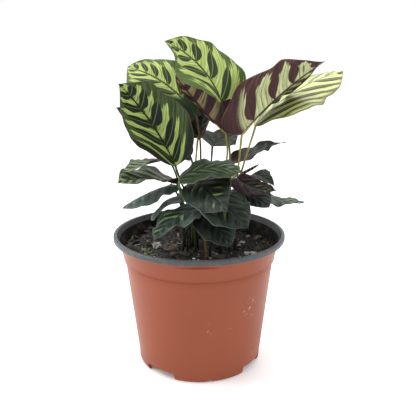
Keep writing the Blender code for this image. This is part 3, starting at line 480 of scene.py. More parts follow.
def linear(hex_colour):
    """Turn an sRGB hex colour into linear RGBA."""
    channels = [int(hex_colour[i:i + 2], 16) / 255 for i in (0, 2, 4)]
    return (*[c / 12.92 if c <= 0.04045 else ((c + 0.055) / 1.055) ** 2.4 for c in channels], 1.0)


def fill(node, inputs):
    """Link or set a node's inputs; a colour may be given as hex."""
    for name, value in inputs.items():
        socket = node.inputs[name]
        if isinstance(value, bpy.types.NodeSocket):
            node.id_data.links.new(value, socket)
        elif socket.type == "RGBA" and isinstance(value, str):
            socket.default_value = linear(value)
        else:
            socket.default_value = value


def add_node(tree, kind, settings=None, inputs=None, stops=None):
    """Add a node with its settings, values, links and ramp stops, and return its first output."""
    made = tree.nodes.new(kind)
    for name, value in (settings or {}).items():
        setattr(made, name, value)
    fill(made, inputs or {})
    if stops:
        elements = made.color_ramp.elements
        while len(elements) < len(stops):
            elements.new(0.5)
        for element, (place, shade) in zip(elements, stops):
            element.position = place
            element.color = (shade, shade, shade, 1.0) if isinstance(shade, float) else linear(shade)
    return next((socket for socket in made.outputs if socket.enabled), made)


def new_material(name):
    """An empty material, what adds a node to it, and its Principled shader."""
    material = bpy.data.materials.new(name)
    material.use_nodes = True
    tree = material.node_tree
    return material, partial(add_node, tree), tree.nodes["Principled BSDF"]


def vein_marks(add, look):
    """Masks of the leaf's markings, from the UV map that counts side veins and runs across them."""
    along, off = add(SPLIT, {}, {0: add("ShaderNodeUVMap", {"uv_map": VEIN_MAP})}).node.outputs[:2]
    place = add(COORDINATES).node.outputs["Object"]
    wander = add(NOISE, {}, {"Vector": place, "Scale": METRE / VEIN_WANDER_LENGTH, "Detail": 2.0})
    drift = add(MATH, MULTIPLY_ADD, {0: wander, 1: VEIN_WANDER, 2: -VEIN_WANDER / 2})
    count = add(MATH, ADD, {0: along, 1: drift})
    across = add(MATH, ABSOLUTE, {0: off})
    # Streaks run along the side veins: fine across them, long along them
    streak_place = add(COMBINE, {}, {0: add(MATH, MULTIPLY, {0: count, 1: STREAKS[0]}),
                                     1: add(MATH, MULTIPLY, {0: off, 1: STREAKS[1]})})
    streak = add(NOISE, {}, {"Vector": streak_place, "Scale": 1.0, "Detail": 2.0})
    # An oval, pointed at both ends, stands on every side vein
    beside = add(MATH, PINGPONG, {0: count, 1: 0.5})
    oval_width = add(RAMP, {}, {0: across}, look["ovals"])
    oval_width.node.color_ramp.interpolation = "CARDINAL"
    oval_edge = add(MATH, SUBTRACT, {0: beside, 1: oval_width})
    oval = add(RANGE, SMOOTH, {0: oval_edge, 1: OVAL_SOFTNESS, 2: -OVAL_SOFTNESS})
    # The pale ground runs out in a comb of streaks before the margin
    comb = add(MATH, MULTIPLY_ADD, {0: streak, 1: COMB, 2: -COMB / 2})
    stripe_width = add(RAMP, {}, {0: add(MATH, ADD, {0: across, 1: comb})}, look["stripes"])
    between = add(MATH, SUBTRACT, {0: 0.5, 1: beside})
    stripe_edge = add(MATH, SUBTRACT, {0: between, 1: stripe_width})
    stripe = add(RANGE, SMOOTH, {0: stripe_edge, 1: 0.03, 2: -0.04})
    # Fine dark lines follow the veins, about 4 mm apart, and fade in and out
    bent = add(MATH, MULTIPLY, {0: streak, 1: FINE_LINE_BEND})
    fine = add(MATH, PINGPONG, {0: add(MATH, MULTIPLY_ADD, {0: count, 1: FINE_LINES, 2: bent}), 1: 0.5})
    fade = add(RANGE, SMOOTH, {0: streak, 1: 0.35, 2: 0.6, 3: 0.3, 4: 1.0})
    line = add(MATH, MULTIPLY, {0: add(RANGE, SMOOTH, {0: fine, 1: 0.15, 2: 0.03}), 1: fade})
    midrib_line = add(RANGE, SMOOTH, {0: across, 1: 0.05, 2: 0.02})
    edge = add(ATTRIBUTE, {"attribute_name": EDGE_MARK}).node.outputs["Fac"]
    return dict(
        place=place, streak=streak, line=line, stripe=stripe, fine=fine,
        mark=add(MATH, MAXIMUM, {0: oval, 1: midrib_line}),
        side=add(RANGE, {}, {0: off, 1: -0.04, 2: 0.04}),
        edge=add(RANGE, SMOOTH, {0: edge, 1: 0.55, 2: 0.9}),
        vein=add(RANGE, SMOOTH, {0: beside, 1: 0.045, 2: 0.01}),
        bare=add(ATTRIBUTE, {"attribute_name": BASE_AND_SHADE_MARK}).node.outputs["Fac"])


def finish_blade(add, shader, marks, colour, roughness, gloss):
    """The relief of fine veins and the broken satin gloss that both sides of a leaf share."""
    wax = add(NOISE, {}, {"Vector": marks["place"], "Scale": METRE / LEAF_MOTTLE, "Detail": 3.0})
    height = add(MATH, MULTIPLY_ADD, {0: marks["fine"], 1: 0.8, 2: wax})
    fill(shader, {
        "Base Color": colour, "IOR": 1.42, "Specular IOR Level": gloss,
        "Roughness": add(RANGE, {}, {0: wax, 1: 0.3, 2: 0.7, 3: roughness - 0.06, 4: roughness + 0.1}),
        "Normal": add(BUMP, {}, {"Strength": 0.35, "Distance": 0.0006, "Height": height})})


def upper_side(look_name):
    """Waxy upper side of a calathea leaf: pale stripes, dark ovals, fine dark veins, satin gloss."""
    look = {**USUAL_UPPER, **UPPER_LOOKS[look_name]}
    material, add, shader = new_material(f"calathea_leaf_upper_{look_name}")
    marks = vein_marks(add, look)
    streak, stripe = marks["streak"], marks["stripe"]
    ground_share = add(RANGE, {}, {0: streak, 1: 0.38, 2: 0.62})
    ground = add(MIX, COLOURS, {0: ground_share, 6: look["field"], 7: look["deep"]})
    if look["patch"]:
        # On older leaves the pale ground is left in patches only
        patch = add(NOISE, {}, {"Vector": marks["place"], "Scale": METRE / GROUND_PATCH, "Detail": 1.0})
        kept = add(RANGE, SMOOTH, {0: patch, 1: look["patch"] - 0.06, 2: look["patch"] + 0.1})
        stripe = add(MATH, MULTIPLY, {0: stripe, 1: kept})
    lined = add(MATH, MULTIPLY, {0: marks["line"], 1: look["lines"]})
    ground = add(MIX, COLOURS, {0: lined, 6: ground, 7: look["border"]})
    # The border is brushed with a little of the ground's deeper tone
    rim_share = add(RANGE, {}, {0: streak, 1: 0.42, 2: 0.66, 3: 0.3})
    rim = add(MIX, COLOURS, {0: 0.25, 6: look["border"], 7: look["deep"]})
    rim = add(MIX, COLOURS, {0: rim_share, 6: rim, 7: look["border"]})
    colour = add(MIX, COLOURS, {0: stripe, 6: rim, 7: ground})
    # The ovals are brushed with the border's tone, and a paler vein runs through each
    left_oval = look.get("side_oval", look["oval"])
    oval = add(MIX, COLOURS, {0: marks["side"], 6: left_oval, 7: look["oval"]})
    brushed = add(RANGE, {}, {0: streak, 1: 0.5, 2: 0.72, 4: 0.35})
    oval = add(MIX, COLOURS, {0: brushed, 6: oval, 7: look["border"]})
    veined = add(MATH, MULTIPLY, {0: marks["vein"], 1: 0.45})
    oval = add(MIX, COLOURS, {0: veined, 6: oval, 7: look["deep"]})
    colour = add(MIX, COLOURS, {0: marks["mark"], 6: colour, 7: oval})
    # The plain dark base: the leaf's own colour, and painted shadow on leaf_tall_behind
    colour = add(MIX, COLOURS, {0: marks["bare"], 6: colour, 7: look.get("base", look["oval"])})
    colour = add(MIX, COLOURS, {0: marks["edge"], 6: colour, 7: look["edge"]})
    finish_blade(add, shader, marks, colour, 0.4, look["gloss"])
    return material


def lower_side(look_name):
    """Matt underside: maroon ovals and margin that show through a pale green ground."""
    look = LOWER_LOOKS[look_name]
    material, add, shader = new_material(f"calathea_leaf_lower_{look_name}")
    marks = vein_marks(add, look)
    ground_share = add(RANGE, {}, {0: marks["streak"], 1: 0.38, 2: 0.62})
    ground = add(MIX, COLOURS, {0: ground_share, 6: look["field"], 7: look["deep"]})
    lined = add(MATH, MULTIPLY, {0: marks["line"], 1: 0.8})
    ground = add(MIX, COLOURS, {0: lined, 6: ground, 7: look["oval"]})
    margin = add(MIX, COLOURS, {0: ground_share, 6: look["border"], 7: look["oval"]})
    colour = add(MIX, COLOURS, {0: marks["stripe"], 6: margin, 7: ground})
    brushed = add(RANGE, {}, {0: marks["streak"], 1: 0.45, 2: 0.7, 4: 0.5})
    flushed = add(MIX, COLOURS, {0: brushed, 6: look["oval"], 7: look["flush"]})
    # The ovals and the plain dark base, which on leaf_tall_behind is painted shadow, take the flushed maroon
    mark = add(MATH, MAXIMUM, {0: marks["mark"], 1: marks["bare"]})
    colour = add(MIX, COLOURS, {0: mark, 6: colour, 7: flushed})
    colour = add(MIX, COLOURS, {0: marks["edge"], 6: colour, 7: look["edge"]})
    finish_blade(add, shader, marks, colour, 0.5, LEAF_GLOSS)
    return material


def stem_skin(look_name):
    """Smooth leaf stalk: darker at the soil, lighter towards the blade, with faint lengthwise stripes."""
    foot, shaft, neck, neck_start = STEM_LOOKS[look_name]
    material, add, shader = new_material(f"calathea_stalk_{look_name}")
    around, along = add(SPLIT, {}, {0: add("ShaderNodeUVMap", {"uv_map": VEIN_MAP})}).node.outputs[:2]
    stripe_place = add(COMBINE, {}, {0: add(MATH, MULTIPLY, {0: around, 1: STEM_STREAKS[0]}),
                                     1: add(MATH, MULTIPLY, {0: along, 1: STEM_STREAKS[1]})})
    stripe = add(NOISE, {}, {"Vector": stripe_place, "Scale": 1.0, "Detail": 2.0})
    low = add(MATH, SUBTRACT, {0: along, 1: 0.25})
    climb = add(MATH, MULTIPLY_ADD, {0: stripe, 1: 0.5, 2: low})
    share = add(RANGE, SMOOTH, {0: climb, 1: 0.1, 2: 0.7})
    necked = add(RANGE, SMOOTH, {0: along, 1: neck_start, 2: neck_start + NECK_EASE})
    shaded = add(MIX, COLOURS, {0: share, 6: foot, 7: shaft})
    fill(shader, {
        "Base Color": add(MIX, COLOURS, {0: necked, 6: shaded, 7: neck}),
        "Roughness": 0.5, "Specular IOR Level": 0.3,
        "Normal": add(BUMP, {}, {"Strength": 0.3, "Distance": 0.0003, "Height": stripe})})
    return material


def pot_plastic():
    """Moulded polypropylene in terracotta red: satin, faintly clouded, with dust and scuffs."""
    material, add, shader = new_material("terracotta_polypropylene")
    place = add(COORDINATES).node.outputs["Object"]
    cloud = add(NOISE, {}, {"Vector": place, "Scale": METRE / PLASTIC_CLOUD, "Detail": 3.0})
    body = add(MIX, COLOURS, {0: cloud, 6: PLASTIC_LOOK["dull"], 7: PLASTIC_LOOK["warm"]})
    body = add(MIX, COLOURS, {0: 0.5, 6: body, 7: PLASTIC_LOOK["body"]})
    # Small scuffs, gathered here and there and in a few places of their own
    scuff = add(NOISE, {}, {"Vector": place, "Scale": METRE / SCUFF_MARK, "Detail": 2.0})
    area = add(NOISE, {}, {"Vector": place, "Scale": METRE / SCUFFED_AREA, "Detail": 1.0})
    scuffed = add(RANGE, SMOOTH, {0: area, 1: 0.68, 2: 0.8})
    for spot, reach in SCUFF_PLACES:
        away = add("ShaderNodeVectorMath", DISTANCE, {0: place, 1: spot}).node
        near = add(RANGE, SMOOTH, {0: away.outputs["Value"], 1: reach, 2: reach * 0.3})
        scuffed = add(MATH, MAXIMUM, {0: scuffed, 1: near})
    marks = add(MATH, MULTIPLY, {0: add(RANGE, SMOOTH, {0: scuff, 1: 0.6, 2: 0.7}), 1: scuffed})
    grain = add(NOISE, {}, {"Vector": place, "Scale": METRE / MOULDED_GRAIN, "Detail": 2.0})
    fill(shader, {
        "Base Color": add(MIX, COLOURS, {0: marks, 6: body, 7: PLASTIC_LOOK["scuff"]}),
        "Roughness": add(RANGE, {}, {0: cloud, 1: 0.3, 2: 0.7, 3: 0.36, 4: 0.48}),
        "IOR": PLASTIC_IOR, "Specular IOR Level": 0.27,
        "Normal": add(BUMP, {}, {"Strength": 0.12, "Distance": 0.0002, "Height": grain})})
    return material


def inner_plastic(name, look):
    """The pot's grey-black inner layer: paler where the rim is rubbed, and inside matt, dusty and darkened to
    near black as painted shade.
    """
    material, add, shader = new_material(name)
    place = add(COORDINATES).node.outputs["Object"]
    rubbed = add(NOISE, {}, {"Vector": place, "Scale": METRE / RUBBED_SPOT, "Detail": 4.0})
    start, full, cover = look["spread"]
    share = add(RANGE, {}, {0: rubbed, 1: start, 2: full, 4: cover})
    fill(shader, {
        "Base Color": add(MIX, COLOURS, {0: share, 6: look["body"], 7: look["worn"]}),
        "Roughness": look["roughness"], "IOR": PLASTIC_IOR, "Specular IOR Level": look["gloss"],
        "Normal": add(BUMP, {}, {"Strength": 0.15, "Distance": 0.0003, "Height": rubbed})})
    return material


def potting_mix():
    """Damp peat and composted bark: almost black, broken by brown crumbs and fibres."""
    material, add, shader = new_material("peat_potting_mix")
    place = add(COORDINATES).node.outputs["Object"]
    crumb = add(NOISE, {}, {
        "Vector": place, "Scale": METRE / PEAT_CRUMB, "Detail": 5.0, "Roughness": 0.7})
    patch = add(NOISE, {}, {"Vector": place, "Scale": METRE / PEAT_PATCH, "Detail": 2.0})
    share = add(MATH, MULTIPLY, {0: crumb, 1: patch})
    fill(shader, {
        "Base Color": add(RAMP, {}, {0: share}, PEAT_TONES), "Roughness": 0.85,
        "Normal": add(BUMP, {}, {"Strength": 0.9, "Distance": 0.0015, "Height": crumb})})
    return material


def loose_grains(name, tones, roughness):
    """Pieces that lie on the soil, each in its own tone from the attribute set when they were strewn."""
    material, add, shader = new_material(name)
    tone = add(ATTRIBUTE, {"attribute_name": TONE}).node.outputs["Fac"]
    place = add(COORDINATES).node.outputs["Object"]
    grain = add(NOISE, {}, {"Vector": place, "Scale": METRE / BARK_GRAIN, "Detail": 4.0})
    mixed = add(MATH, MULTIPLY_ADD, {0: grain, 1: 0.4, 2: add(MATH, SUBTRACT, {0: tone, 1: 0.2})})
    fill(shader, {
        "Base Color": add(RAMP, {}, {0: mixed}, tones), "Roughness": roughness,
        "Normal": add(BUMP, {}, {"Strength": 0.6, "Distance": 0.0006, "Height": grain})})
    return material


def studio_white():
    """Matt white card under the pot, with the faint glow that a lit surround gives it."""
    material, add, shader = new_material("white_card")
    place = add(COORDINATES).node.outputs["Object"]
    fibre = add(NOISE, {}, {"Vector": place, "Scale": METRE / CARD_MOTTLE})
    fill(shader, {
        "Base Color": add(MIX, COLOURS, {0: fibre, 6: "fafafa", 7: "fefefe"}),
        "Roughness": 0.9, "Specular IOR Level": 0.1,
        "Emission Color": WHITE, "Emission Strength": 0.08})
    return material


def new_object(name, mesh):
    """A new object at the origin, in the scene."""
    item = bpy.data.objects.new(name, mesh)
    bpy.context.scene.collection.objects.link(item)
    return item


def outward_mesh(name, points, faces, upwards=False):
    """A mesh whose faces all point outwards, or upwards where it is an open sheet."""
    mesh = bpy.data.meshes.new(name)
    mesh.from_pydata(points, [], faces)
    shape = bmesh.new()
    shape.from_mesh(mesh)
    bmesh.ops.recalc_face_normals(shape, faces=shape.faces)
    if upwards and sum(face.normal.z for face in shape.faces) < 0:
        bmesh.ops.reverse_faces(shape, faces=shape.faces)
    shape.to_mesh(mesh)
    shape.free()
    return mesh


def settle(item, slot, *nodes):
    """Seat a finished piece on the body and hide the imported nodes that it stands for; slot, what it is made
    of, is not used.
    """
    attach(item, BODY)
    if nodes:
        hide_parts(*nodes)


def bake(item):
    """Turn what an object's modifiers make into its plain mesh."""
    evaluated = item.evaluated_get(bpy.context.evaluated_depsgraph_get())
    mesh = bpy.data.meshes.new_from_object(evaluated)
    item.modifiers.clear()
    item.data = mesh


def grid_faces(rows, columns, start=0, closed=False, flip=False):
    """Quads of a grid of points stored row by row; closed joins the last column to the first."""
    faces = []
    spans = columns if closed else columns - 1
    for row in range(rows - 1):
        for column in range(spans):
            beside = (column + 1) % columns
            corners = [row * columns + column, row * columns + beside,
                       (row + 1) * columns + beside, (row + 1) * columns + column]
            if flip:
                corners.reverse()
            faces.append([start + corner for corner in corners])
    return faces


def unit(vectors):
    """Each vector scaled to a length of one."""
    return vectors / np.maximum(np.linalg.norm(vectors, axis=-1, keepdims=True), 1e-12)


def degrees_apart(angle, other):
    """The angle between two directions, from 0 to 180."""
    return abs((angle - other + 180) % 360 - 180)


def outline(s, widest, shares):
    """Half width of a blade as a share of its widest, with its edge set at the stations."""
    a = BASE_ROUNDNESS
    b = a * (1 - widest) / widest
    peak = widest ** a * (1 - widest) ** b
    even = s ** a * (1 - s) ** b / peak * np.minimum((1 - s) / TIP_LENGTH, 1) ** TIP_DRAW
    stations = np.array(EDGE_STATIONS)
    span = np.clip(np.searchsorted(stations, s) - 1, 0, len(stations) - 2)
    way = np.clip((s - stations[span]) / (stations[span + 1] - stations[span]), 0, 1)
    shares = np.array(shares, float)
    return even * (shares[span] + (shares[span + 1] - shares[span]) * way * way * (3 - 2 * way))


def midrib(leaf, s):
    """Points, tangents, upper normals and rightward directions along the midrib."""
    base = np.array(leaf["base"], float)
    chord = np.array(leaf["tip"], float) - base
    forward = unit(chord)
    up = np.array(leaf["up"], float)
    up = unit(up - forward * up.dot(forward))
    bow = leaf["arch"] * up + leaf["sway"] * np.cross(forward, up)
    point = base + chord * s + bow * 4 * s * (1 - s)
    tangent = unit(chord + bow * (4 - 8 * s))
    turn = np.radians(leaf["twist"]) * (s - 0.5)
    normal = up * np.cos(turn) + np.cross(forward, up) * np.sin(turn)
    normal = unit(normal - tangent * np.sum(normal * tangent, -1, keepdims=True))
    return point, tangent, normal, np.cross(tangent, normal)


def blade_surface(leaf, s, across):
    """The blade's middle surface for columns of s and rows of across, from -1 to 1."""
    s = s[:, None]
    across = across[None, :]
    point, tangent, normal, right = (part[:, None, :] for part in midrib(leaf, s))
    left = across < 0
    out = np.abs(across)
    half = np.where(left, *[float(value) for value in leaf["half"]])
    even = np.where(left, *[outline(s, leaf["widest"], shares) for shares in leaf["edges"]])
    width = np.maximum(even * half, TIP_HALF_WIDTH)
    ease = 1 - FOLD_EASE * s
    rise = np.radians(np.where(left, *leaf["fold"])) * ease
    bend = np.radians(np.where(left, *leaf["curl"])) * ease + 1e-6
    sideways = width * (np.sin(rise + bend * out) - np.sin(rise)) / bend
    lift = width * (np.cos(rise) - np.cos(rise + bend * out)) / bend
    height, count, phase = leaf["wave"]
    phases = phase + np.where(left, WAVE_LEAD, 0.0)
    swell = np.maximum(np.sin(np.pi * s), 0) ** WAVE_FADE
    lift = lift + height * np.sin(math.tau * (count * s + phases)) * out ** 2 * swell
    ripple, ripples = RIPPLE
    fine = np.sin(math.tau * (ripples * s + RIPPLE_LEAD * phases))
    lift = lift + ripple * min(height, 1) * fine * out ** 4 * swell
    back = np.where(left, *[float(value) for value in leaf["lobe"]]) * out * width / half
    back = back * (1 - s) ** 4 * LOBE_REACH
    place = point + right * (np.sign(across) * sideways)[..., None] + normal * lift[..., None]
    return place - tangent * back[..., None], width


def vein_count(start, places):
    """Number the side veins by where they leave the midrib, going on evenly past the first and last."""
    places = np.array(places)
    steps = np.arange(len(places))
    before = (start - places[0]) / (places[1] - places[0])
    after = steps[-1] + (start - places[-1]) / (places[-1] - places[-2])
    inside = np.interp(start, places, steps)
    return np.where(start < places[0], before, np.where(start > places[-1], after, inside))


def blade_grid():
    """Places of a blade's rows along its midrib, and of its columns from -1 to 1 across it."""
    even = np.linspace(0, 1, BLADE_ROWS + 1)
    steps = np.linspace(-1, 1, BLADE_COLUMNS + 1)
    return (even + 0.5 - 0.5 * np.cos(np.pi * even)) / 2, np.sign(steps) * np.abs(steps) ** COLUMN_CROWDING


def vein_starts(leaf, s, out, width):
    """Where the side vein at each point leaves the midrib, by the left half's lean and by the right's."""
    length = np.linalg.norm(np.array(leaf["tip"], float) - np.array(leaf["base"], float))
    slant = (VEIN_SLANT[0] * out + VEIN_SLANT[1] * out ** 2) * width / length
    return [s[:, None] - slant * lean for lean in leaf["slant"]]


def blade_points(middle, s, out, width, count):
    """Upper and then lower points: the middle surface thickened, quilted between veins, with a midrib."""
    normal = unit(np.cross(np.gradient(middle, axis=1), np.gradient(middle, axis=0)))
    span = out * width
    relief = QUILTING * np.cos(math.tau * count) * np.sin(np.pi * np.clip(out, 0, 1)) ** 0.8
    relief = relief * np.minimum(width / QUILTED_WIDTH, 1.0)
    groove, ridge = (depth * np.exp(-(span / half) ** 2) for depth, half in (MIDRIB_GROOVE, MIDRIB_RIDGE))
    ridge = ridge * (1 - s[:, None]) ** 0.7
    thick = BLADE_EDGE_THICKNESS + (BLADE_THICKNESS - BLADE_EDGE_THICKNESS) * (1 - out ** 3)
    upper = middle + normal * (thick / 2 + relief - groove)[..., None]
    lower = middle - normal * (thick / 2 - relief + ridge)[..., None]
    return np.concatenate([upper.reshape(-1, 3), lower.reshape(-1, 3)])


def edge_faces(rows, columns):
    """Quads that close a blade's edge, from its upper points to its lower ones."""
    edge = [row * columns for row in range(rows)]
    edge += [(rows - 1) * columns + column for column in range(1, columns)]
    edge += [row * columns + columns - 1 for row in range(rows - 2, -1, -1)]
    edge += [column for column in range(columns - 2, 0, -1)]
    lower = rows * columns
    return [[here, there, there + lower, here + lower] for here, there in zip(edge, edge[1:] + edge[:1])]


def make_leaf_mesh(name, leaf):
    """One closed blade with its relief, and its stem, in one mesh with three materials."""
    s, across = blade_grid()
    middle, width = blade_surface(leaf, s, across)
    left = across[None, :] < 0
    out = np.abs(across)[None, :]
    starts = vein_starts(leaf, s, out, width)
    counts = [vein_count(start, places) for start, places in zip(starts, leaf["veins"])]
    points = blade_points(middle, s, out, width, np.where(left, *counts))
    rows, columns = len(s), len(across)
    upper_faces = grid_faces(rows, columns)
    lower_faces = grid_faces(rows, columns, start=rows * columns, flip=True) + edge_faces(rows, columns)
    stem_points, stem_faces, stem_map = stem_mesh(leaf, len(points))
    mesh = bpy.data.meshes.new(name)
    mesh.from_pydata((np.concatenate([points, stem_points]) * MM).tolist(), [],
                     upper_faces + lower_faces + stem_faces)
    kinds = [0] * len(upper_faces) + [1] * len(lower_faces) + [2] * len(stem_faces)
    mesh.polygons.foreach_set("material_index", kinds)
    # Side veins are counted apart on the two halves, so the map is set corner by corner
    sides = [np.tile(side.ravel(), 2) for side in counts]
    # It is stretched so that the pale ground ends where the leaf has it
    reach = np.where(across < 0, *[PALE_REACH / share for share in leaf["reach"]])
    flat_across = np.tile(np.repeat((across * reach)[None, :], rows, axis=0).ravel(), 2)
    pairs = []
    for face in upper_faces + lower_faces:
        side = sides[0 if sum(flat_across[corner] for corner in face) < 0 else 1]
        pairs += [(side[corner], flat_across[corner]) for corner in face]
    vein_map = mesh.uv_layers.new(name=VEIN_MAP)
    vein_map.data.foreach_set("uv", np.array(pairs + stem_map, np.float32).ravel())
    # Plain dark base next to the stem: the leaf's own dark base, and painted shadow on leaf_tall_behind
    bare = np.clip((leaf["bare"] - np.where(left, *starts)) / BARE_EASE + 0.5, 0, 1)
    edge = np.repeat(np.clip((out - 1) / EDGE_SHARE + 1, 0, 1), rows, axis=0)
    for mark, values in ((BASE_AND_SHADE_MARK, bare), (EDGE_MARK, edge)):
        values = np.concatenate([np.tile(values.ravel(), 2), np.zeros(len(stem_points))])
        mesh.attributes.new(mark, "FLOAT", "POINT").data.foreach_set("value", values.astype(np.float32))
    return mesh


def stem_path(leaf):
    """Points along a stem, from under the soil to its run-out below the midrib."""
    foot = Vector((*leaf["root"], STEM_FOOT_HEIGHT))
    base = Vector(leaf["base"])
    reach = base - foot
    up = Vector((reach.x * STEM_SPREAD, reach.y * STEM_SPREAD, reach.z + STEM_RISE)).normalized()
    ground = foot + up * (STEM_CLEAR_HEIGHT - STEM_FOOT_HEIGHT) / up.z
    reach = base - ground
    distance = reach.length
    tangent = Vector(midrib(leaf, np.zeros((1, 1)))[1][0])
    arrival = (reach.normalized() + tangent * leaf["lean"]).normalized()
    curve = interpolate_bezier(ground, ground + up * distance * STEM_PULL[0],
                               base - arrival * distance * STEM_PULL[1], base, STEM_POINTS)
    return [foot, *curve]


def stem_mesh(leaf, first):
    """A tapering tube along the stem, closed at both ends, with its map running along it."""
    path = stem_path(leaf)
    lengths = np.cumsum([0.0] + [(b - a).length for a, b in zip(path, path[1:])])
    shares = list(lengths / lengths[-1])
    places, sizes = zip(*STEM_RADII)
    radii = list(np.interp(shares, places, sizes))
    for s, radius in STEM_TAIL:
        point, _, normal, _ = midrib(leaf, np.array([[s]]))
        path.append(Vector(point[0] - normal[0] * (BLADE_THICKNESS / 2 + radius * TAIL_SINK)))
        radii.append(radius)
        shares.append(1.0)
    rings = []
    side = Vector((1, 0, 0))
    for index, point in enumerate(path):
        ahead = path[min(index + 1, len(path) - 1)] - path[max(index - 1, 0)]
        ahead.normalize()
        side = (side - ahead * side.dot(ahead)).normalized()
        other = ahead.cross(side)
        for step in range(STEM_SIDES):
            angle = math.tau * step / STEM_SIDES
            rings.append(point + (side * math.cos(angle) + other * math.sin(angle)) * radii[index])
    faces = grid_faces(len(path), STEM_SIDES, start=first, closed=True)
    last = first + (len(path) - 1) * STEM_SIDES
    faces.append([first + step for step in range(STEM_SIDES - 1, -1, -1)])
    faces.append([last + step for step in range(STEM_SIDES)])
    pairs = []
    for face in faces:
        for corner in face:
            ring, step = divmod(corner - first, STEM_SIDES)
            pairs.append((step / STEM_SIDES, shares[ring]))
    return np.array([tuple(point) for point in rings]), faces, pairs


def make_leaves():
    """Every leaf with its stem, in the finishes that the table gives it."""
    uppers = {name: upper_side(name) for name in UPPER_LOOKS}
    lowers = {name: lower_side(name) for name in LOWER_LOOKS}
    stems = {name: stem_skin(name) for name in STEM_LOOKS}
    for name, own in LEAVES.items():
        leaf = {**USUAL_LEAF, **own}
        piece = new_object(f"fine_{name}", make_leaf_mesh(name, leaf))
        for material in (uppers[leaf["look"]], lowers[leaf["below"]], stems[leaf["stem"]]):
            piece.data.materials.append(material)
        piece.data.shade_smooth()
        settle(piece, "leaf", name)


def notch_level(degrees):
    """How high the pot's foot is cut away at an angle."""
    level = 0.0
    round_off = math.degrees(NOTCH_ROUND / FOOT_RADIUS)
    for centre in NOTCH_ANGLES:
        away = degrees_apart(degrees, centre)
        if away < NOTCH_HALF_ANGLE:
            depth = min((NOTCH_HALF_ANGLE - away) / round_off, 1.0)
            level = max(level, NOTCH_HEIGHT * (NOTCH_END + (1 - NOTCH_END) * math.sqrt(1 - (1 - depth) ** 2)))
    for centre in ARCH_ANGLES:
        away = math.radians(degrees_apart(degrees, centre)) * FOOT_RADIUS
        if away < ARCH_RADIUS:
            level = max(level, math.sqrt(ARCH_RADIUS ** 2 - away ** 2))
    return level


def pot_angles():
    """Angles of the pot's facets, with close pairs at the ends of the notches and across the arches."""
    angles = {round(360.0 * turn / POT_TURNS, 3) for turn in range(POT_TURNS)}
    for centre in NOTCH_ANGLES:
        for sign in (-1, 1):
            for step in NOTCH_STEPS:
                angles.add(round((centre + sign * (NOTCH_HALF_ANGLE - step)) % 360, 3))
    for centre in ARCH_ANGLES:
        for step in range(-ARCH_STEPS, ARCH_STEPS + 1):
            reach = math.degrees(ARCH_RADIUS / FOOT_RADIUS) * math.sin(math.pi / 2 * step / ARCH_STEPS)
            angles.add(round((centre + reach) % 360, 3))
    return sorted(angles)


def arc(radius, height, size, start, end, steps):
    """Points of an arc in the profile plane, by angle in degrees."""
    points = []
    for step in range(steps + 1):
        angle = math.radians(start + (end - start) * step / steps)
        points.append((radius + size * math.cos(angle), height + size * math.sin(angle)))
    return points


def stretch(start, end, steps):
    """Points evenly along a straight stretch of the profile, without its first."""
    return [(start[0] + (end[0] - start[0]) * step / steps, start[1] + (end[1] - start[1]) * step / steps)
            for step in range(1, steps + 1)]


def points_from(radius, height, offsets):
    """Points of the profile by how far out and up each is from one place."""
    return [(radius + out, height + up) for out, up in offsets]


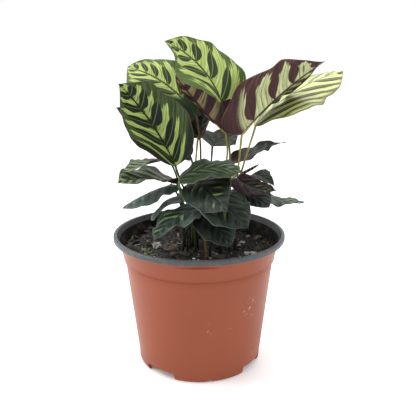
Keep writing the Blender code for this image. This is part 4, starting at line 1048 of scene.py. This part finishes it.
def pot_profile():
    """Closed section of the pot, from the middle of its floor up the inside and down the outside."""
    ledge = COLLAR_FOOT_HEIGHT
    inside = [(BODY_FOOT_RADIUS - WALL, FLOOR_TOP)]
    inside += stretch(inside[0], (BODY_TOP_RADIUS - WALL, ledge), 8)
    inside += [(COLLAR_FOOT_RADIUS - WALL, ledge + WALL)]
    inside += points_from(COLLAR_TOP_RADIUS - WALL, RIM_FOOT, ((-2.2, -7.5), (0, 0)))
    # The rolled rim, from its inner lip over its crown to its lower edge
    roll = [(RIM_INNER_RADIUS - 0.3, POT_HEIGHT - 2.0)]
    roll += arc(RIM_INNER_RADIUS + 1.1, POT_HEIGHT - 1.3, 1.3, 150, 75, 4)
    roll += arc(RIM_RADIUS - 1.5, POT_HEIGHT - 1.6, 1.5, 70, 0, 5)
    roll += arc(RIM_RADIUS - RIM_ROUND, RIM_FOOT + RIM_ROUND, RIM_ROUND, 0, -80, 4)
    # The collar, slightly hollow, and the fine ledge at its foot
    outside = points_from(COLLAR_TOP_RADIUS, RIM_FOOT, ((1.6, 0), (0.5, -0.1), (0, -0.7), (-0.25, -1.6)))
    for share in (0.12, 0.18, 0.21, 0.24, 0.3, 0.45, 0.6, 0.75, 0.9):
        hollow = 0.5 * math.sin(math.pi * share)
        outside.append((COLLAR_TOP_RADIUS - share * (COLLAR_TOP_RADIUS - COLLAR_FOOT_RADIUS) - hollow,
                        RIM_FOOT - share * (RIM_FOOT - ledge)))
    outside += points_from(COLLAR_FOOT_RADIUS, ledge, ((0.25, 1.3), (0.4, 0.7), (0.3, 0.2), (-0.2, -0.15)))
    outside += points_from(BODY_TOP_RADIUS, ledge, ((-0.2, -0.4), (-0.35, -0.9), (-0.1, -1.5)))
    outside += stretch((BODY_TOP_RADIUS, ledge - 1.5), (BODY_FOOT_RADIUS, FLOOR_TOP), 12)
    # The foot ring, the underside of the floor and its pad
    foot = points_from(BODY_FOOT_RADIUS, 0, ((-0.2, 4.4), (-0.6, 3.0), (-1.1, 1.8)))
    foot += points_from(FOOT_RADIUS + FOOT_HALF_WIDTH, 0, ((0.6, 0.7), (0, 0.15)))
    foot += points_from(FOOT_RADIUS, 0, ((0.3, 0), (-0.3, 0)))
    foot += points_from(FOOT_RADIUS - FOOT_HALF_WIDTH, 0, ((0, 0.15), (-0.2, 4.5), (-0.6, FOOT_HEIGHT)))
    foot += points_from(PAD_RADIUS, 0, ((0.6, FOOT_HEIGHT), (0.1, 4.6), (0, 0.2), (-0.3, 0)))
    return inside + roll + outside + foot


def pot_points(profile, angles):
    """The section turned round the pot's axis, with its notches and the hollow under its rim."""
    points = []
    for radius, height in profile:
        risen = min(max((height - RIM_FOOT + DENT_FOOT) / DENT_STEP, 0), 1)
        if radius < OUTER_SIDE_RADIUS:
            risen = 0
        for degrees in angles:
            away = degrees_apart(degrees, DENT_ANGLE) / DENT_HALF_ANGLE
            level = notch_level(degrees) if radius > FOOT_RADIUS - NOTCH_REACH else 0
            angle = math.radians(degrees)
            reach = (radius - DENT_DEPTH * risen * max(1 - away ** 2, 0)) * MM
            points.append((reach * math.cos(angle), reach * math.sin(angle), max(height, level) * MM))
    return points


def drill_drains(pot):
    """Cut the ring of drain holes through the pot's floor."""
    cutters = []
    for index in range(DRAIN_COUNT):
        shape = bmesh.new()
        place = Matrix.Rotation(math.tau * (index + 0.5) / DRAIN_COUNT, 4, "Z")
        place = place @ Matrix.Translation((DRAIN_RING_RADIUS * MM, 0, FLOOR_TOP * MM))
        bmesh.ops.create_cone(shape, cap_ends=True, segments=DRAIN_SIDES, radius1=DRAIN_RADIUS * MM,
                              radius2=DRAIN_RADIUS * MM, depth=DRAIN_DEPTH * MM, matrix=place)
        hole = bpy.data.meshes.new("drain")
        shape.to_mesh(hole)
        shape.free()
        cutter = new_object(f"drain_{index}", hole)
        cutters.append(cutter)
        cut = pot.modifiers.new(f"Drain {index}", "BOOLEAN")
        cut.operation = "DIFFERENCE"
        cut.object = cutter
    bake(pot)
    for cutter in cutters:
        bpy.data.objects.remove(cutter, do_unlink=True)


def pot_finish(centre, normal):
    """Which finish a face of the pot has: 0 for the outside, 1 for the rim band, 2 for the inside."""
    radius = math.hypot(centre.x, centre.y)
    inner_wall = normal.x * centre.x + normal.y * centre.y < 0 and centre.z > FLOOR_TOP - 0.2
    floor = normal.z > 0.9 and centre.z < FLOOR_TOP + 1 and radius < BODY_FOOT_RADIUS - 1
    if centre.z > BAND_START:
        return 1
    if inner_wall or floor:
        return 2
    # The rim's lower edge stands out past the collar
    return int(centre.z > RIM_FOOT - 0.3 and radius > COLLAR_TOP_RADIUS + 0.9)


def make_pot():
    """The pot as one turned shell, drained, in its three finishes."""
    profile = pot_profile()
    angles = pot_angles()
    points = pot_points(profile, angles)
    columns = len(angles)
    faces = grid_faces(len(profile), columns, closed=True)
    top, bottom = len(points), len(points) + 1
    points += [(0, 0, FLOOR_TOP * MM), (0, 0, 0)]
    last = (len(profile) - 1) * columns
    for column in range(columns):
        beside = (column + 1) % columns
        faces.append([top, beside, column])
        faces.append([bottom, last + column, last + beside])
    pot = new_object("nursery_pot", outward_mesh("pot", points, faces))
    drill_drains(pot)
    pot.data.materials.clear()
    for material in (pot_plastic(), inner_plastic("rubbed_grey_polypropylene", RIM_LOOK),
                     inner_plastic("shaded_black_polypropylene", SHADED_INSIDE_LOOK)):
        pot.data.materials.append(material)
    for face in pot.data.polygons:
        face.material_index = pot_finish(face.center / MM, face.normal)
    pot.data.shade_smooth()
    pot.data.set_sharp_from_angle(angle=math.radians(SHARP_ANGLE))
    settle(pot, "pot_plastic", "pot")


def soil_height(x, y):
    """Height of the soil's surface in millimetres: a low dome with clods and crumbs."""
    radius = math.hypot(x, y)
    dome = SOIL_CROWN_HEIGHT - (SOIL_CROWN_HEIGHT - SOIL_EDGE_HEIGHT) * (radius / SOIL_RADIUS) ** 2
    dome += (SOIL_TILT[0] * x + SOIL_TILT[1] * y) / SOIL_RADIUS
    height = dome - SOIL_DROP
    for rise, width, layer in SOIL_RELIEF:
        height += rise * noise.noise(Vector((x / width, y / width, layer)))
    return height


def inner_reach(height):
    """How far from the pot's axis its inside wall is, at the heights of the soil."""
    return COLLAR_FOOT_RADIUS - WALL + (height - COLLAR_FOOT_HEIGHT - WALL) * INNER_TAPER - SOIL_GAP


def keep_inside(mesh):
    """Press what would stick out through the pot's wall flat against its inside."""
    places = np.empty(len(mesh.vertices) * 3, np.float32)
    mesh.vertices.foreach_get("co", places)
    places = places.reshape(-1, 3)
    radius = np.hypot(places[:, 0], places[:, 1])
    share = np.minimum(inner_reach(places[:, 2] / MM) * MM / np.maximum(radius, MM), 1)
    places[:, :2] *= share[:, None]
    mesh.vertices.foreach_set("co", places.ravel())


def make_soil():
    """The bed of potting mix: a rough top, and a side hidden inside the pot. Returns its top."""
    points = []
    for ring in range(SOIL_RINGS):
        share = ((ring + 1) / SOIL_RINGS) ** SOIL_CROWDING
        for turn in range(SOIL_TURNS):
            angle = math.tau * turn / SOIL_TURNS
            edge = soil_height(SOIL_RADIUS * math.cos(angle), SOIL_RADIUS * math.sin(angle))
            radius = share * inner_reach(edge)
            x, y = radius * math.cos(angle), radius * math.sin(angle)
            points.append((x * MM, y * MM, soil_height(x, y) * MM))
    faces = grid_faces(SOIL_RINGS, SOIL_TURNS, closed=True, flip=True)
    centre = len(points)
    points.append((0, 0, soil_height(0, 0) * MM))
    for turn in range(SOIL_TURNS):
        faces.append([centre, turn, (turn + 1) % SOIL_TURNS])
    top = outward_mesh("soil_top", points, faces, upwards=True)
    last = (SOIL_RINGS - 1) * SOIL_TURNS
    skirt = len(points)
    foot = (SOIL_EDGE_HEIGHT - SOIL_SKIRT) * MM
    inner = SOIL_SKIRT_RADIUS * MM
    for turn in range(SOIL_TURNS):
        angle = math.tau * turn / SOIL_TURNS
        points.append((inner * math.cos(angle), inner * math.sin(angle), foot))
    for turn in range(SOIL_TURNS):
        beside = (turn + 1) % SOIL_TURNS
        faces.append([last + turn, skirt + turn, skirt + beside, last + beside])
    faces.append([skirt + turn for turn in range(SOIL_TURNS - 1, -1, -1)])
    bed = new_object("soil_bed", outward_mesh("soil", points, faces))
    bed.data.materials.append(potting_mix())
    bed.data.shade_smooth()
    settle(bed, "potting_soil", "soil")
    return top


def strewing_tree():
    """A node group that strews rough grains over a surface, each with its own size, turn and tone."""
    tree = bpy.data.node_groups.new("Strewn grains", "GeometryNodeTree")
    tree.interface.new_socket("Geometry", in_out="OUTPUT", socket_type="NodeSocketGeometry")
    sockets = {}
    for name, kind in (("Geometry", "Geometry"), ("Density", "Float"), ("Seed", "Int"),
                       ("Smallest", "Vector"), ("Largest", "Vector"), ("Tilt", "Float"),
                       ("Roughness", "Float"), ("Corners", "Int"), ("Sunk", "Float"),
                       ("Material", "Material")):
        sockets[name] = tree.interface.new_socket(name, in_out="INPUT", socket_type=f"NodeSocket{kind}")
    add = partial(add_node, tree)
    given = add("NodeGroupInput").node.outputs
    points = add("GeometryNodeDistributePointsOnFaces", {}, {
        "Mesh": given["Geometry"], "Density": given["Density"], "Seed": given["Seed"]}).node
    # One rough grain
    ball = add("GeometryNodeMeshIcoSphere", {}, {"Radius": 1.0, "Subdivisions": given["Corners"]})
    rough = add(NOISE, {"noise_dimensions": "4D"}, {"Scale": 1.1, "W": 3.0, "Detail": 1.0}).node
    shift = add("ShaderNodeVectorMath", SUBTRACT, {0: rough.outputs["Color"], 1: (0.5, 0.5, 0.5)})
    shift = add("ShaderNodeVectorMath", SCALE, {0: shift, "Scale": given["Roughness"]})
    lump = add("GeometryNodeSetPosition", {}, {"Geometry": ball, "Offset": shift})
    # Its size, turn, depth and tone at each point
    size = add("FunctionNodeRandomValue", VECTORS, {
        0: given["Smallest"], 1: given["Largest"], "Seed": given["Seed"]})
    back = add(MATH, MULTIPLY, {0: given["Tilt"], 1: -1.0})
    turn = add("FunctionNodeRandomValue", VECTORS, {
        0: add(COMBINE, {}, {0: back, 1: back, 2: 0.0}),
        1: add(COMBINE, {}, {0: given["Tilt"], 1: given["Tilt"], 2: math.tau}),
        "Seed": add(MATH, ADD, {0: given["Seed"], 1: 5.0})})
    grains = add("GeometryNodeInstanceOnPoints", {}, {
        "Points": points.outputs["Points"], "Instance": lump, "Scale": size,
        "Rotation": add("FunctionNodeEulerToRotation", {}, {0: turn})})
    drop = add(COMBINE, {}, {2: add(MATH, MULTIPLY, {0: given["Sunk"], 1: -1.0})})
    grains = add("GeometryNodeTranslateInstances", {}, {
        "Instances": grains, "Translation": drop, "Local Space": False})
    tone = add("FunctionNodeRandomValue", {}, {"Seed": add(MATH, ADD, {0: given["Seed"], 1: 9.0})})
    grains = add("GeometryNodeStoreNamedAttribute", {"data_type": "FLOAT", "domain": "INSTANCE"}, {
        "Geometry": grains, "Name": TONE, "Value": tone})
    real = add("GeometryNodeRealizeInstances", {}, {0: grains})
    real = add("GeometryNodeSetShadeSmooth", {}, {0: real, "Shade Smooth": False})
    done = add("GeometryNodeSetMaterial", {}, {0: real, "Material": given["Material"]})
    add("NodeGroupOutput", {}, {0: done})
    return tree, {name: socket.identifier for name, socket in sockets.items()}


def strew(name, tree, identifiers, surface, settings):
    """Lay one kind of grain on the soil as a plain mesh."""
    grains = new_object(name, surface.copy())
    modifier = grains.modifiers.new("Strewn", "NODES")
    modifier.node_group = tree
    for key, value in settings.items():
        modifier[identifiers[key]] = value
    bake(grains)
    keep_inside(grains.data)
    settle(grains, "potting_soil")


def make_chunks(name, material, chunks):
    """The few pieces large enough to be told apart on the soil, set down one by one."""
    shape = bmesh.new()
    tones = []
    for x, y, size, turn, tilt, tone in chunks:
        rest = Matrix.Translation((x, y, soil_height(x, y) + size[2] * CHUNK_LIFT))
        rest = rest @ Matrix.Rotation(math.radians(turn), 4, "Z")
        rest = rest @ Matrix.Rotation(math.radians(tilt), 4, "X")
        made = bmesh.ops.create_icosphere(shape, subdivisions=3, radius=1.0)["verts"]
        for vert in made:
            rough = 1 + CHUNK_ROUGHNESS * noise.noise(vert.co * 1.6 + Vector((x, y, 0)))
            rough += CHUNK_ROUGHNESS / 2 * noise.noise(vert.co * 4.5 + Vector((y, x, 0)))
            squared = [math.copysign(abs(part) ** CHUNK_SQUARENESS, part) * half
                       for part, half in zip(vert.co, size)]
            vert.co = rest @ (Vector(squared) * rough) * MM
        tones += [tone] * len(made)
    mesh = bpy.data.meshes.new(name)
    shape.to_mesh(mesh)
    shape.free()
    mesh.attributes.new(TONE, "FLOAT", "POINT").data.foreach_set("value", tones)
    mesh.materials.append(material)
    keep_inside(mesh)
    settle(new_object(name, mesh), "potting_soil")


def make_litter(surface):
    """Crumbs, bark chips, pale grains and a few large pieces on the soil."""
    tree, identifiers = strewing_tree()
    grains = {name: loose_grains(name, *look) for name, look in GRAIN_LOOKS.items()}
    for name, (look, settings) in STREWN.items():
        strew(name, tree, identifiers, surface, {**settings, "Material": grains[look]})
    for name, (look, chunks) in PLACED.items():
        make_chunks(name, grains[look], chunks)


def make_studio():
    """White floor, a soft white surround and large soft lights from the left, the right and behind."""
    mesh = bpy.data.meshes.new("floor")
    half = FLOOR_SIZE / 2
    mesh.from_pydata([(-half, -half, 0), (half, -half, 0), (half, half, 0), (-half, half, 0)], [],
                     [[0, 1, 2, 3]])
    mesh.materials.append(studio_white())
    new_object("studio_floor", mesh)
    world = bpy.data.worlds.new("white_surround")
    world.use_nodes = True
    fill(world.node_tree.nodes["Background"], {"Color": WHITE, "Strength": 1.0})
    bpy.context.scene.world = world
    for name, place, aim, size, power in SOFTBOXES:
        light = bpy.data.lights.new(name, "AREA")
        light.shape = "SQUARE"
        light.size = size
        light.energy = power
        lamp = new_object(name, light)
        lamp.location = place
        lamp.rotation_euler = (Vector(aim) - Vector(place)).to_track_quat("-Z", "Y").to_euler()


def make_camera():
    """The camera, where the photograph was taken from."""
    camera = bpy.data.cameras.new("camera")
    camera.sensor_width = SENSOR_WIDTH
    camera.lens = FOCAL_PIXELS / IMAGE_PIXELS * SENSOR_WIDTH
    holder = new_object("camera", camera)
    holder.location = CAMERA_PLACE
    holder.rotation_euler = (math.radians(90 - CAMERA_TILT), 0, math.radians(-CAMERA_TURN))
    bpy.context.scene.camera = holder


def main():
    """Light the studio, set up the camera and build the potted plant."""
    bpy.context.scene.view_settings.view_transform = "Standard"
    make_camera()
    make_studio()
    make_pot()
    make_litter(make_soil())
    make_leaves()


main()
